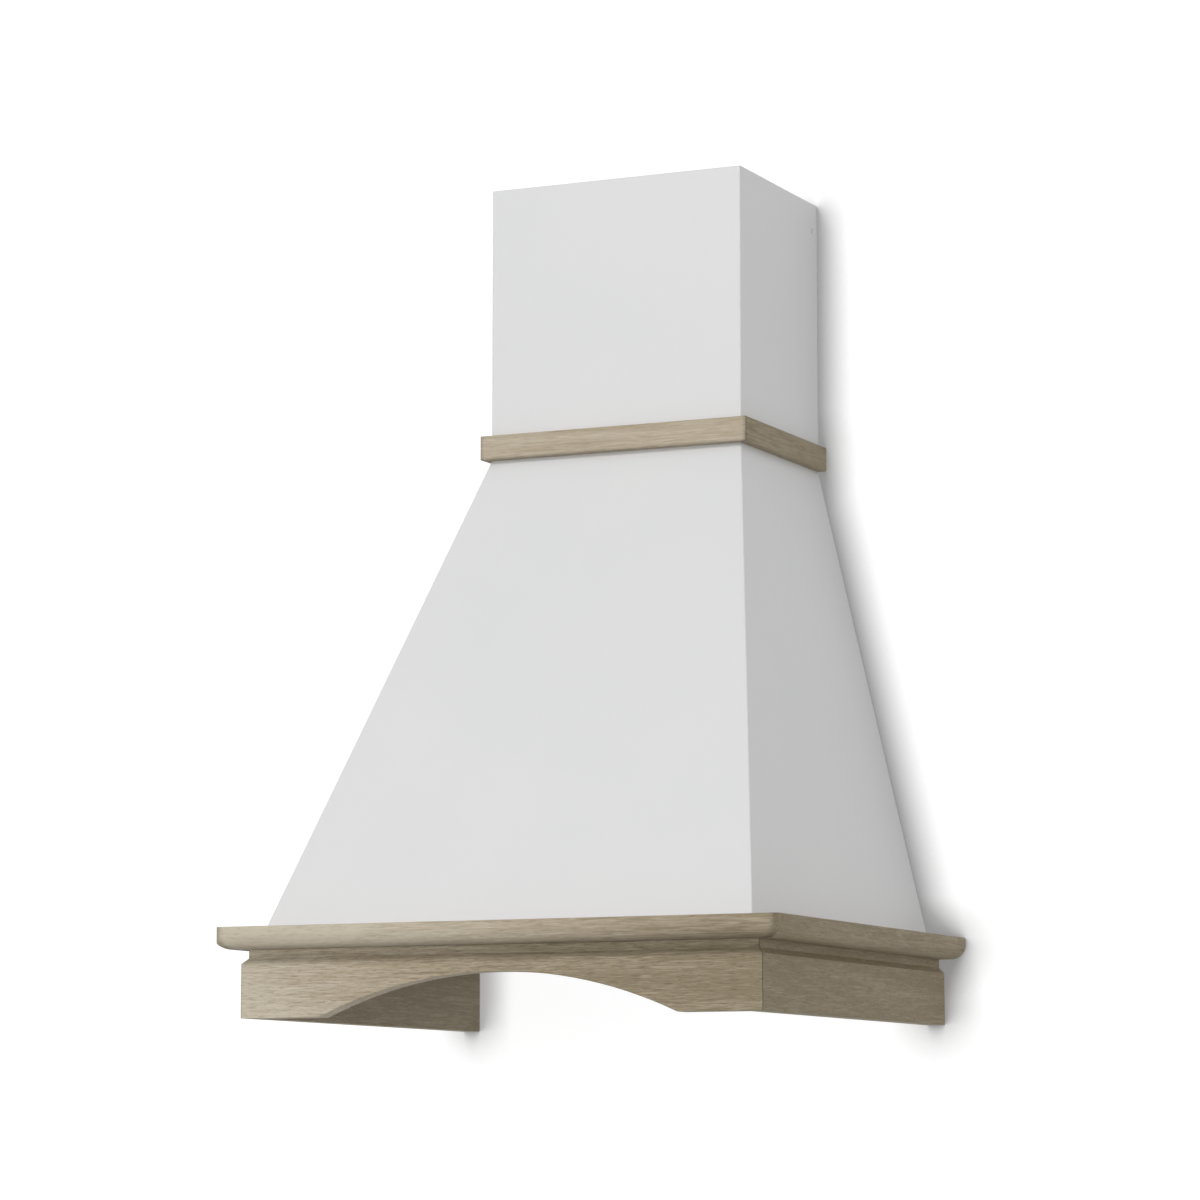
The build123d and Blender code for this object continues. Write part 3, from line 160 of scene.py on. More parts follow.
# Filter nets, in millimetres as all pieces below
NET_DIAMOND = (6.2, 11.0)
NET_STRAND = 1.1
NET_SHEET = 0.6
NET_LAYERS = 3
NET_LAYER_RISE = 1.9
NET_LATCH_HALF = 33.0
NET_LATCH_DEPTH = 34.7

# Lamps; the lip goes by its distance from the ring's outer or inner edge, and its share of the drop
LAMP_RING_WIDTH = 10.0
LAMP_SEGMENTS = 72
LIP_OUTSIDE = ((0, 0), (0, 0.3), (0.35, 0.65), (1.2, 0.92), (2.4, 1.0))
LIP_INSIDE = ((3.6, 1.0), (2.0, 0.9), (0.9, 0.6), (0.2, 0.25), (0, 0))
LENS_RIBS = 19
LENS_RIB = 0.5
LENS_GROOVE = 0.1
LENS_CORE = 1.0

# Screws; the dome goes by shares of the head's radius and height
SCREW_HEAD = 3.5
SCREW_HEIGHT = 2.8
SCREW_SHANK = 1.75
SCREW_TIP = 0.6
SCREW_DOME = ((1, 0), (1, 0.25), (0.86, 0.7), (0.58, 1), (0.40, 1), (0.36, 0.45), (0.05, 0.40))
SCREW_FLAT = 0.866
SCREW_SEGMENTS = 36
RECESS_RINGS = (7, 8)
LOBES = 6
LOBE_DEPTH = 0.14
CHIMNEY_SCREW_LENGTH = 6.0
CHIMNEY_SCREW_RISE = 0.5

# Grommets and gasket; the rim goes by its inset and its share of the height
GROMMET_RADIUS = 8.0
GROMMET_BORE = 2.1
GROMMET_RIM = ((1.0, 0), (0.3, 0.06), (0, 0.16), (0, 0.24), (1.2, 0.36), (1.6, 0.5))
GROMMET_SEGMENTS = 36
GASKET_WIDTH = 7.0
GASKET_HOLLOW = 0.8
GASKET_STEPS = 8

# Impeller wheel
WHEEL_RING = 3.0
WHEEL_RING_WIDTH = 14.0
WHEEL_PLATE = 2.5
WHEEL_PLATE_INSET = 0.5
WHEEL_SEGMENTS = 80
WHEEL_BLADES = 40
HUB_RADIUS = 13.0
HUB_HALF = 18.0
HUB_BORE = 4.06
BLADE_CHORD = 14.0
BLADE_INSET = 0.8
BLADE_LEAD = 0.11
BLADE_SHEET = 1.0
BLADE_STEPS = 6

# Printed signs; digits and sun lie at a share of the size behind the margin
MARKS = (
    ("0", "off_button"),
    ("1", "low_speed_button"),
    ("2", "mid_speed_button"),
    ("3", "high_speed_button"),
)
MARK_SIZE = 5.0
MARK_RISE = 0.08
MARK_MARGIN = 5.5
DIGIT_SETBACK = 0.7
SUN_SETBACK = 0.35
SUN_RING = (0.7, 1.1)
SUN_SEGMENTS = 24
SUN_RAYS = 8
SUN_RAY = (1.5, 2.2)
SUN_RAY_WIDTH = 0.4

# Latch ribs and springs
RIB_COUNT = 9
RIB_PITCH = 2.6
RIB_SETBACK = 18.0
RIB_REACH = 0.5
RIB_LEVEL = 3.0
RIB_WIDTH = 1.0
RIB_HEIGHT = 3.6
SPRING_STRIP = 0.4
SPRING_CROWN = 0.33
SPRING_STEPS = 36


# Node graphs


class Graph:
    """A material with its Principled shader, and short ways to add and link nodes."""

    def __init__(self, name):
        self.material = bpy.data.materials.new(name)
        self.material.use_nodes = True
        self.tree = self.material.node_tree
        self.shader = self.tree.nodes["Principled BSDF"]

    def add(self, kind, **settings):
        node = self.tree.nodes.new("ShaderNode" + kind)
        for key, value in settings.items():
            setattr(node, key, value)
        return node

    def link(self, source, target):
        self.tree.links.new(source, target)

    def set(self, name, value):
        self.shader.inputs[name].default_value = value

    def feed(self, name, source):
        self.link(source, self.shader.inputs[name])

    def place(self, scale=(1, 1, 1), offset=(0, 0, 0)):
        """Row-frame coordinates, scaled and moved."""
        coordinate = self.add("TexCoord")
        mapping = self.add("Mapping")
        mapping.inputs["Scale"].default_value = scale
        mapping.inputs["Location"].default_value = offset
        self.link(coordinate.outputs["Object"], mapping.inputs["Vector"])
        return mapping.outputs["Vector"]

    def axes(self):
        """Row-frame coordinates, one by one."""
        split = self.add("SeparateXYZ")
        self.link(self.place(), split.inputs[0])
        return split.outputs

    def noise(self, vector, scale=1.0, detail=3.0, roughness=0.5, distortion=0.0):
        node = self.add("TexNoise")
        node.inputs["Scale"].default_value = scale
        node.inputs["Detail"].default_value = detail
        node.inputs["Roughness"].default_value = roughness
        node.inputs["Distortion"].default_value = distortion
        self.link(vector, node.inputs["Vector"])
        return node.outputs["Fac"]

    def crystals(self, scale):
        """A grey for each cell of a random pattern."""
        cells = self.add("TexVoronoi")
        cells.inputs["Scale"].default_value = scale
        self.link(self.place(), cells.inputs["Vector"])
        grey = self.add("RGBToBW")
        self.link(cells.outputs["Color"], grey.inputs["Color"])
        return grey.outputs["Val"]

    def ramp(self, factor, stops):
        """A colour ramp of (position, colour) stops."""
        node = self.add("ValToRGB")
        ramp = node.color_ramp
        ramp.elements[0].position = stops[0][0]
        ramp.elements[0].color = (*stops[0][1], 1)
        ramp.elements[-1].position = stops[-1][0]
        ramp.elements[-1].color = (*stops[-1][1], 1)
        for position, colour in stops[1:-1]:
            element = ramp.elements.new(position)
            element.color = (*colour, 1)
        self.link(factor, node.inputs["Fac"])
        return node.outputs["Color"]

    def span(self, factor, low, high, from_low=0.0, from_high=1.0, ease="LINEAR"):
        """A value moved from one range to another."""
        node = self.add("MapRange", interpolation_type=ease)
        limits = {"From Min": from_low, "From Max": from_high, "To Min": low, "To Max": high}
        for key, value in limits.items():
            node.inputs[key].default_value = value
        self.link(factor, node.inputs["Value"])
        return node.outputs["Result"]

    def darken(self, colour, tone):
        """A colour times a tone."""
        node = self.add("Mix", data_type="RGBA", blend_type="MULTIPLY")
        factor, first, second = (node.inputs[index] for index in MIX_INPUTS)
        factor.default_value = 1.0
        self.link(colour, first)
        self.link(tone, second)
        return node.outputs[MIX_RESULT]

    def math(self, operation, first, second=0.0):
        node = self.add("Math", operation=operation)
        for index, source in enumerate((first, second)):
            if isinstance(source, (int, float)):
                node.inputs[index].default_value = source
            else:
                self.link(source, node.inputs[index])
        return node.outputs[0]

    def near(self, aside, tone, width):
        """A tone on a line that goes up to 1 at a width on each side; aside is the distance from it."""
        return self.span(self.math("ABSOLUTE", aside), tone, 1.0, 0.0, width)

    def bump(self, height, strength, distance, edge=0.0):
        """Bump on the surface, over edges softened by a small radius."""
        node = self.add("Bump")
        node.inputs["Strength"].default_value = strength
        node.inputs["Distance"].default_value = distance
        self.link(height, node.inputs["Height"])
        if edge:
            soft = self.add("Bevel", samples=BEVEL_SAMPLES)
            soft.inputs["Radius"].default_value = edge
            self.link(soft.outputs["Normal"], node.inputs["Normal"])
        self.feed("Normal", node.outputs["Normal"])


# Finishes


def mitre_line(node):
    """Where a mitre lies: the width and depth of its outer corner, added."""
    low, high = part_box(node)
    return high[WIDE] + low[DEEP]


def grained(waves, grain):
    """Noise scales that are slow along one row axis and fast across it."""
    slow, fast = waves
    scale = [fast, fast, fast]
    scale[grain] = slow
    return tuple(scale)


def darker(colour, share):
    return tuple(channel * share for channel in colour)


def oak(name, grain, offset, darkness_span, reach, mitre, contrast, pores, corner=FINE_MITRE, shade_line=None):
    """Bleached oak with grain along one row axis, going from one darkness to another over a reach.

    The contrast is that of the streaks, and pores is the tone of the open pores. The finish is darker
    along the mitre at each front corner, a dark joint that a wide corner widens into painted shade of a
    rounded corner, and along a shade line: a level (height, width) where a shadow under an overhang or the
    shade of an edge facing down is painted."""
    graph = Graph(name)

    def along(waves):
        return graph.place(grained(waves, grain), offset)

    figure = graph.noise(along(FIGURE_WAVES), detail=4.0, roughness=0.55, distortion=1.2)
    streak = graph.noise(along(STREAK_WAVES), detail=5.0, roughness=0.68, distortion=1.1)
    dash = graph.noise(along(PORE_WAVES), detail=2.0, roughness=0.6, distortion=0.4)
    axes = graph.axes()
    share = graph.math("POWER", graph.span(axes[grain], 0.0, 1.0, *reach), OAK_DRIFT)
    swing = graph.span(figure, -FIGURE_SWING, FIGURE_SWING, *FIGURE_RISE)
    darkness = graph.math("ADD", graph.span(share, *darkness_span), swing)
    darkness = graph.math("ADD", darkness, graph.span(streak, -contrast, contrast, *STREAK_RISE))
    colour = graph.ramp(darkness, [(0.0, OAK_PALE), (0.5, OAK_MIDDLE), (1.0, OAK_DARK)])
    pore = graph.span(dash, 0.0, 1.0, *PORE_RISE)
    shade = graph.span(pore, 1.0, pores)
    # Darker along each mitre: a dark joint, which at the nosing's wide corner is painted shade of the
    # rounded corner as well
    outward = graph.math("ADD", graph.math("ABSOLUTE", axes[WIDE]), axes[DEEP])
    shade = graph.math("MULTIPLY", shade, graph.near(graph.math("SUBTRACT", outward, mitre), *corner))
    # Painted shade: a darker line at the shade line's level, for the shadow under the nosing and the shade
    # on the lower edges
    if shade_line:
        level, width = shade_line
        above = graph.math("SUBTRACT", axes[HIGH], level)
        shade = graph.math("MULTIPLY", shade, graph.near(above, UNDERSIDE_SHADE_TONE, width))
    graph.feed("Base Color", graph.darken(colour, shade))
    graph.set("Specular IOR Level", 0.25)
    graph.feed("Roughness", graph.span(streak, low=0.55, high=0.75))
    relief = graph.math("SUBTRACT", streak, graph.math("MULTIPLY", pore, PORE_DEPTH))
    graph.bump(relief, strength=0.30, distance=0.0005, edge=0.0008)
    return graph.material


def white_paint(name):
    """Satin powder coat with a faint orange peel."""
    graph = Graph(name)
    vector = graph.place()
    cloud = graph.noise(vector, scale=7.0, detail=2.0)
    graph.feed("Base Color", graph.ramp(cloud, [(0.3, WHITE_LOW), (0.7, WHITE)]))
    graph.feed("Roughness", graph.span(graph.noise(vector, scale=240.0), low=0.34, high=0.46))
    peel = graph.noise(vector, scale=620.0, detail=2.0)
    graph.bump(peel, strength=0.05, distance=0.0004, edge=0.0014)
    return graph.material


def galvanised(name):
    """Zinc-coated sheet with its crystal pattern."""
    graph = Graph(name)
    graph.set("Metallic", 0.85)
    crystals = graph.crystals(scale=110.0)
    graph.feed("Base Color", graph.ramp(crystals, [(0.1, ZINC_LOW), (0.9, ZINC)]))
    graph.feed("Roughness", graph.span(crystals, low=0.42, high=0.54))
    graph.bump(graph.noise(graph.place(), scale=300.0), strength=0.06, distance=0.0003, edge=0.0004)
    return graph.material


def brushed(name, colour, grain, rough):
    """Brushed metal with fine scratches along one row axis."""
    graph = Graph(name)
    graph.set("Metallic", 1.0)
    scratch = graph.noise(graph.place(grained(SCRATCH_WAVES, grain)), detail=4.0, roughness=0.7)
    graph.feed("Base Color", graph.ramp(scratch, [(0.3, darker(colour, BRUSHED_LOW)), (0.7, colour)]))
    graph.feed("Roughness", graph.span(scratch, low=rough - 0.07, high=rough + 0.10))
    graph.bump(scratch, strength=0.05, distance=0.0002, edge=0.0005)
    return graph.material


def plain_metal(name, colour, rough):
    """Plated steel with a little unevenness."""
    graph = Graph(name)
    graph.set("Metallic", 1.0)
    cloud = graph.noise(graph.place(), scale=260.0)
    graph.feed("Base Color", graph.ramp(cloud, [(0.3, darker(colour, PLATED_LOW)), (0.7, colour)]))
    graph.feed("Roughness", graph.span(cloud, low=rough - 0.06, high=rough + 0.08))
    graph.bump(cloud, strength=0.05, distance=0.0002, edge=0.0003)
    return graph.material


def plastic(name, colour, rough, grain_size):
    """Moulded plastic with a fine spark-eroded grain."""
    graph = Graph(name)
    vector = graph.place()
    cloud = graph.noise(vector, scale=18.0)
    grain = graph.noise(vector, scale=1.0 / grain_size, detail=2.0)
    graph.feed("Base Color", graph.ramp(cloud, [(0.35, darker(colour, PLASTIC_LOW)), (0.65, colour)]))
    graph.feed("Roughness", graph.span(grain, low=rough - 0.05, high=rough + 0.08))
    graph.bump(grain, strength=0.12, distance=0.0002, edge=0.0006)
    return graph.material


def frosted_glass(name):
    """Lamp lens: translucent white with fine prisms."""
    graph = Graph(name)
    graph.set("Transmission Weight", 0.45)
    graph.set("IOR", 1.49)
    prisms = graph.noise(graph.place(), scale=420.0, detail=1.0)
    graph.feed("Base Color", graph.ramp(prisms, [(0.3, GLASS_LOW), (0.7, GLASS)]))
    graph.feed("Roughness", graph.span(prisms, low=0.28, high=0.42))
    graph.bump(prisms, strength=0.10, distance=0.0003)
    return graph.material


FRONT_REACH = (-0.30, 0.30)
SIDE_REACH = (-0.50, 0.0)
TRIM_REACH = (-0.15, 0.15)
BOARD_MITRE = mitre_line("front_board")
NOSING_MITRE = mitre_line("front_nosing")
TRIM_MITRE = mitre_line("neck_trim_front")
# Painted shade lines: the nosing's shadow on the board just under it, and the shade along the lower edges
# of the nosing and the trim
BOARD_SHADE_LINE = (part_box("front_board")[0][2] + BOARD_SHADE_LINE_HEIGHT, BOARD_SHADE_LINE_WIDTH)
NOSING_SHADE_LINE = (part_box("front_nosing")[0][2], NOSING_SHADE_LINE_WIDTH)
TRIM_SHADE_LINE = (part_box("neck_trim_front")[0][2], TRIM_SHADE_LINE_WIDTH)
FRONT_OAK = oak("oak_front", grain=WIDE, offset=(0.31, 0.07, 0.02), darkness_span=(-0.20, 1.00),
                reach=FRONT_REACH, mitre=BOARD_MITRE, contrast=0.38, pores=0.74, shade_line=BOARD_SHADE_LINE)
# Painted shade: the side boards are given a darker oak than the front, for the shade on the hood's sides
SHADED_SIDE_OAK = oak("oak_side_painted_shade", grain=DEEP, offset=(0.05, 0.43, 0.11), darkness_span=(0.96, 0.92),
               reach=SIDE_REACH, mitre=BOARD_MITRE, contrast=0.24, pores=0.82)
NOSING_FRONT_OAK = oak("oak_nosing_front", grain=WIDE, offset=(1.37, 0.31, 0.57), darkness_span=(-0.95, 0.80),
                       reach=FRONT_REACH, mitre=NOSING_MITRE, contrast=0.36, pores=0.86,
                       corner=NOSING_CORNER_JOINT_AND_SHADE, shade_line=NOSING_SHADE_LINE)
# Painted shade: the side nosings are given a darker oak than the front, for the shade on the hood's sides
SHADED_NOSING_SIDE_OAK = oak("oak_nosing_side_painted_shade", grain=DEEP, offset=(0.77, 1.13, 0.29), darkness_span=(0.96, 0.90),
                      reach=SIDE_REACH, mitre=NOSING_MITRE, contrast=0.24, pores=0.86,
                      corner=NOSING_CORNER_JOINT_AND_SHADE)
TRIM_FRONT_OAK = oak("oak_trim_front", grain=WIDE, offset=(2.11, 0.17, 0.83), darkness_span=(0.28, 0.38),
                     reach=TRIM_REACH, mitre=TRIM_MITRE, contrast=0.26, pores=0.90,
                     corner=TRIM_CORNER, shade_line=TRIM_SHADE_LINE)
# Painted shade: the side trims are given a darker oak than the front, for the shade on the hood's sides
SHADED_TRIM_SIDE_OAK = oak("oak_trim_side_painted_shade", grain=DEEP, offset=(0.37, 0.59, 1.29), darkness_span=(0.98, 0.92),
                    reach=SIDE_REACH, mitre=TRIM_MITRE, contrast=0.24, pores=0.88,
                    corner=TRIM_CORNER)
PAINT = white_paint("white_satin_paint")
GALVANISED = galvanised("galvanised_sheet")
STAINLESS = brushed("stainless_brushed", colour=(0.62, 0.62, 0.61), grain=WIDE, rough=0.30)
ALUMINIUM = brushed("aluminium_satin", colour=(0.72, 0.73, 0.74), grain=DEEP, rough=0.36)
FASTENER = plain_metal("zinc_fastener", colour=(0.62, 0.63, 0.64), rough=0.34)
SPRING = plain_metal("spring_steel", colour=(0.50, 0.51, 0.53), rough=0.30)
ENAMEL = plastic("motor_enamel", colour=(0.05, 0.05, 0.055), rough=0.35, grain_size=0.0012)
BLACK = plastic("black_plastic", colour=(0.028, 0.028, 0.030), rough=0.45, grain_size=0.0007)
GREY = plastic("grey_plastic", colour=(0.36, 0.37, 0.38), rough=0.48, grain_size=0.0008)
SILVER = plastic("silver_button_plastic", colour=(0.50, 0.51, 0.52), rough=0.30, grain_size=0.0006)
RUBBER = plastic("black_rubber", colour=(0.022, 0.022, 0.022), rough=0.70, grain_size=0.0010)
FOAM = plastic("foam_strip", colour=(0.045, 0.045, 0.048), rough=0.90, grain_size=0.0018)
LENS = frosted_glass("lamp_lens_glass")
PRINT = plastic("pale_print", colour=(0.62, 0.62, 0.62), rough=0.5, grain_size=0.0006)

BY_SLOT = {
    "white_paint": PAINT,
    "white_screws": PAINT,
    "galvanised_steel": GALVANISED,
    "zinc_fasteners": FASTENER,
    "stainless_steel": STAINLESS,
    "aluminium": ALUMINIUM,
    "spring_steel": SPRING,
    "dark_plastic": BLACK,
    "lamp_glass": LENS,
    "button_plastic": SILVER,
    "blower_plastic": GREY,
    "motor_enamel": ENAMEL,
    "rubber": RUBBER,
    "foam": FOAM,
}
BY_NODE = {
    "front_board": FRONT_OAK,
    "left_board": SHADED_SIDE_OAK,
    "right_board": SHADED_SIDE_OAK,
    "front_nosing": NOSING_FRONT_OAK,
    "left_nosing": SHADED_NOSING_SIDE_OAK,
    "right_nosing": SHADED_NOSING_SIDE_OAK,
    "frame_tenons": FRONT_OAK,
    "neck_trim_front": TRIM_FRONT_OAK,
    "neck_trim_left": SHADED_TRIM_SIDE_OAK,
    "neck_trim_right": SHADED_TRIM_SIDE_OAK,
}


def dress(piece, material):
    """One material all over a piece."""
    slots = piece.data.materials
    if not slots:
        slots.append(material)
    for index in range(len(slots)):
        slots[index] = material


def dress_cad():
    """Each CAD node in its own finish, or in that of its slot."""
    slots = {entry["node"]: entry["material_slot"] for entry in frame["record"]["subparts"]}
    for name, piece in nodes.items():
        dress(piece, BY_NODE.get(name) or BY_SLOT[slots[name]])


# Pieces built here, most of them in place of plainer solids


class Form:
    """Points and faces gathered for one mesh, in millimetres."""

    def __init__(self):
        self.points = []
        self.faces = []

    def add(self, points, faces):
        start = len(self.points)
        self.points += points
        self.faces += [tuple(start + index for index in face) for face in faces]

    def bar(self, start, end, width, thickness):
        """A flat bar between two points at one level, lying in plan."""
        along = (Vector(end) - Vector(start)).normalized()
        aside = Vector((-along.y, along.x, 0)) * width / 2
        rise = Vector((0, 0, thickness / 2))
        points = [Vector(at) + side * aside + up * rise for at in (start, end) for side, up in SQUARE]
        self.add(points, BAR_FACES)

    def turned(self, profile, place, segments, closed, lobes=()):
        """A profile of (radius, height) turned about an upright axis, then put at a place matrix.

        A closed profile makes a ring, and an open one gets a cap at each end. Rings of points whose
        number is in lobes are wavy, for a screw's recess."""
        points = []
        for ring, (radius, height) in enumerate(profile):
            for step in range(segments):
                angle = 2 * math.pi * step / segments
                reach = radius * (1 + (LOBE_DEPTH * math.cos(LOBES * angle) if ring in lobes else 0))
                points.append(place @ Vector((reach * math.cos(angle), reach * math.sin(angle), height)))
        rings = len(profile)
        faces = []
        for ring in range(rings if closed else rings - 1):
            low = ring * segments
            high = (ring + 1) % rings * segments
            faces += [(low + step, low + (step + 1) % segments, high + (step + 1) % segments, high + step)
                      for step in range(segments)]
        if not closed:
            faces.append(tuple(range(segments))[::-1])
            faces.append(tuple((rings - 1) * segments + step for step in range(segments)))
        self.add(points, faces)

    def piece(self, name, material, smooth):
        """The mesh object."""
        mesh = bpy.data.meshes.new(name)
        mesh.from_pydata([Vector(point) / MM_PER_M for point in self.points], [], self.faces)
        mesh.update()
        for polygon in mesh.polygons:
            polygon.use_smooth = smooth
        piece = bpy.data.objects.new(name, mesh)
        bpy.context.scene.collection.objects.link(piece)
        dress(piece, material)
        return piece


def stand_in(piece, body, slot, *replaced):
    """A piece that rides on a body in place of CAD nodes."""
    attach(piece, body)
    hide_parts(*replaced)


def millimetres(node):
    """Corners of a CAD node's box in millimetres."""
    low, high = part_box(node)
    return Vector(low) * MM_PER_M, Vector(high) * MM_PER_M


def upright(x, y, z=0.0, flip=False):
    """Place of a turned form whose axis is upright."""
    place = Matrix.Translation((x, y, z))
    return place @ Matrix.Rotation(math.pi, 4, "X") if flip else place


def net_layer(form, low, high, level, gap, keep_out):
    """One layer of expanded metal: staggered diamonds of flat strands.

    keep_out holds the middle, the half width and the rear end of a bay that stays open."""
    across = int((high.x - low.x) / NET_DIAMOND[0] * 2)
    along = int((high.y - low.y) / NET_DIAMOND[1] * 2)
    step_x = (high.x - low.x) / across
    step_y = (high.y - low.y) / along

    def corner(i, j):
        return Vector((low.x + i * step_x, low.y + j * step_y, level))

    for i in range(across):
        for j in range(along):
            rising = (i + j + gap) % 2 == 0
            start = corner(i, j if rising else j + 1)
            end = corner(i + 1, j + 1 if rising else j)
            middle = (start + end) / 2
            if not (abs(middle.x - keep_out.x) < keep_out.y and middle.y < keep_out.z):
                form.bar(start, end, NET_STRAND, NET_SHEET)


def filter_net(side):
    """The grease filter's layers of fine expanded metal, open round the latch."""
    node = "filter_mesh_" + side
    low, high = millimetres(node)
    latch_low, latch_high = millimetres("filter_latch_" + side)
    keep_out = Vector(((latch_low.x + latch_high.x) / 2, NET_LATCH_HALF, low.y + NET_LATCH_DEPTH))
    form = Form()
    for layer in range(NET_LAYERS):
        level = low.z + NET_SHEET / 2 + layer * NET_LAYER_RISE
        net_layer(form, low, high, level, layer, keep_out)
    piece = form.piece("filter_net_" + side, ALUMINIUM, smooth=False)
    stand_in(piece, "filter_" + side, "aluminium", node)


def lamp_ring(side):
    """A turned lamp ring with a rolled lip."""
    low, high = millimetres("lamp_bezel_" + side)
    centre = (low + high) / 2
    outer = (high.x - low.x) / 2
    inner = outer - LAMP_RING_WIDTH
    drop = high.z - low.z
    lip = [(outer - inset, share * drop) for inset, share in LIP_OUTSIDE]
    lip += [(inner + reach, share * drop) for reach, share in LIP_INSIDE]
    form = Form()
    form.turned(lip, upright(centre.x, centre.y, high.z, flip=True), LAMP_SEGMENTS, closed=True)
    piece = form.piece("lamp_ring_" + side, STAINLESS, smooth=True)
    stand_in(piece, "hood", "stainless_steel", "lamp_bezel_" + side)
    return centre


def lamp_glass(side, centre):
    """A lens with fine ribs, behind the ring."""
    low, high = millimetres("lamp_lens_" + side)
    radius = (high.x - low.x) / 2
    profile = [(radius * (index + 1) / LENS_RIBS, low.z + (LENS_RIB if index % 2 else LENS_GROOVE))
               for index in range(LENS_RIBS)]
    profile += [(radius, high.z), (LENS_CORE, high.z)]
    form = Form()
    form.turned(profile, upright(centre.x, centre.y), LAMP_SEGMENTS, closed=False)
    piece = form.piece("lamp_glass_" + side, LENS, smooth=True)
    stand_in(piece, "hood", "lamp_glass", "lamp_lens_" + side)


def screw(form, place, head, height, length):
    """A domed screw with a lobed recess; its seat is at the place and its shank goes down."""
    profile = [(SCREW_SHANK * SCREW_TIP, -length), (SCREW_SHANK, -length + SCREW_SHANK), (SCREW_SHANK, 0)]
    profile += [(reach * head, share * height) for reach, share in SCREW_DOME]
    form.turned(profile, place, SCREW_SEGMENTS, closed=False, lobes=RECESS_RINGS)


def blower_screws():
    """The screws that hold the blower up on its plate."""
    form = Form()
    low, high = millimetres("blower_screws")
    seat = high.z - SCREW_HEIGHT
    for x in (low.x + SCREW_HEAD, high.x - SCREW_HEAD):
        for y in (low.y + SCREW_HEAD * SCREW_FLAT, high.y - SCREW_HEAD * SCREW_FLAT):
            screw(form, upright(x, y, seat), SCREW_HEAD, SCREW_HEIGHT, seat - low.z)
    piece = form.piece("blower_screws_turned", FASTENER, smooth=True)
    stand_in(piece, "hood", "zinc_fasteners", "blower_screws")


def chimney_screws():
    """The two flat painted screws at the sides of the chimney."""
    form = Form()
    low, high = millimetres("chimney_screws")
    chimney = millimetres("chimney_cover")[1].x
    middle = (low + high) / 2
    head = (high.z - low.z) / 2
    for side in (-1, 1):
        turn = Matrix.Rotation(side * math.pi / 2, 4, "Y")
        place = Matrix.Translation((side * chimney, middle.y, middle.z)) @ turn
        screw(form, place, head, CHIMNEY_SCREW_RISE, CHIMNEY_SCREW_LENGTH)
    piece = form.piece("chimney_screws_turned", PAINT, smooth=True)
    stand_in(piece, "hood", "white_screws", "chimney_screws")


def grommets():
    """Rubber bushes with a waist and rounded rims."""
    form = Form()
    low, high = millimetres("blower_grommets")
    rise = high.z - low.z
    full = GROMMET_RADIUS
    rim = [(full - inset, share) for inset, share in GROMMET_RIM]
    outside = rim + [(radius, 1 - share) for radius, share in reversed(rim[:-1])]
    profile = [(radius, share * rise) for radius, share in outside]
    profile += [(GROMMET_BORE, rise), (GROMMET_BORE, 0)]
    for x in (low.x + full, high.x - full):
        for y in (low.y + full, high.y - full):
            form.turned(profile, upright(x, y, low.z), GROMMET_SEGMENTS, closed=True)
    piece = form.piece("grommets_moulded", RUBBER, smooth=True)
    stand_in(piece, "hood", "rubber", "blower_grommets")


def gasket():
    """A foam strip laid round the outlet, its sides bulged where it is squeezed."""
    low, high = millimetres("outlet_gasket")
    middle = (low + high) / 2
    half_x = (high.x - low.x) / 2
    half_y = (high.y - low.y) / 2
    rise = high.z - low.z
    section = []
    for step in range(GASKET_STEPS + 1):
        share = step / GASKET_STEPS
        section.append((GASKET_HOLLOW * (1 - math.sin(math.pi * share)), share * rise))
    section += [(GASKET_WIDTH - inset, height) for inset, height in reversed(section)]
    points = []
    for way_x, way_y in SQUARE:
        for inset, height in section:
            x = middle.x + way_x * (half_x - inset)
            y = middle.y + way_y * (half_y - inset)
            points.append(Vector((x, y, low.z + height)))
    count = len(section)
    faces = []
    for corner in range(4):
        here = corner * count
        there = (corner + 1) % 4 * count
        faces += [(here + step, here + (step + 1) % count, there + (step + 1) % count, there + step)
                  for step in range(count)]
    form = Form()
    form.add(points, faces)
    piece = form.piece("gasket_foam", FOAM, smooth=False)
    stand_in(piece, "hood", "foam", "outlet_gasket")


def fine_impeller():
    """A wheel with twice the blades, each of them curved, in place of the bent ones."""
    low, high = millimetres("impeller")
    middle = (low + high) / 2
    half = (high.x - low.x) / 2
    radius = (high.z - low.z) / 2
    place = Matrix.Translation(middle) @ Matrix.Rotation(math.pi / 2, 4, "Y")
    form = Form()
    inner = radius - WHEEL_RING_WIDTH
    for foot in (-half, half - WHEEL_RING):
        top = foot + WHEEL_RING
        ring = [(radius, foot), (radius, top), (inner, top), (inner, foot)]
        form.turned(ring, place, WHEEL_SEGMENTS, closed=True)
    plate = WHEEL_PLATE / 2
    rim = radius - WHEEL_PLATE_INSET
    disc = [(rim, -plate), (rim, plate), (HUB_RADIUS, plate), (HUB_RADIUS, HUB_HALF), (HUB_BORE, HUB_HALF),
            (HUB_BORE, -HUB_HALF), (HUB_RADIUS, -HUB_HALF), (HUB_RADIUS, -plate)]
    form.turned(disc, place, WHEEL_SEGMENTS, closed=True)
    for index in range(WHEEL_BLADES):
        curved_blade(form, place, 2 * math.pi * index / WHEEL_BLADES, radius, half - WHEEL_RING / 2)
    piece = form.piece("impeller_wheel", GREY, smooth=False)
    stand_in(piece, "impeller", "blower_plastic", "impeller")


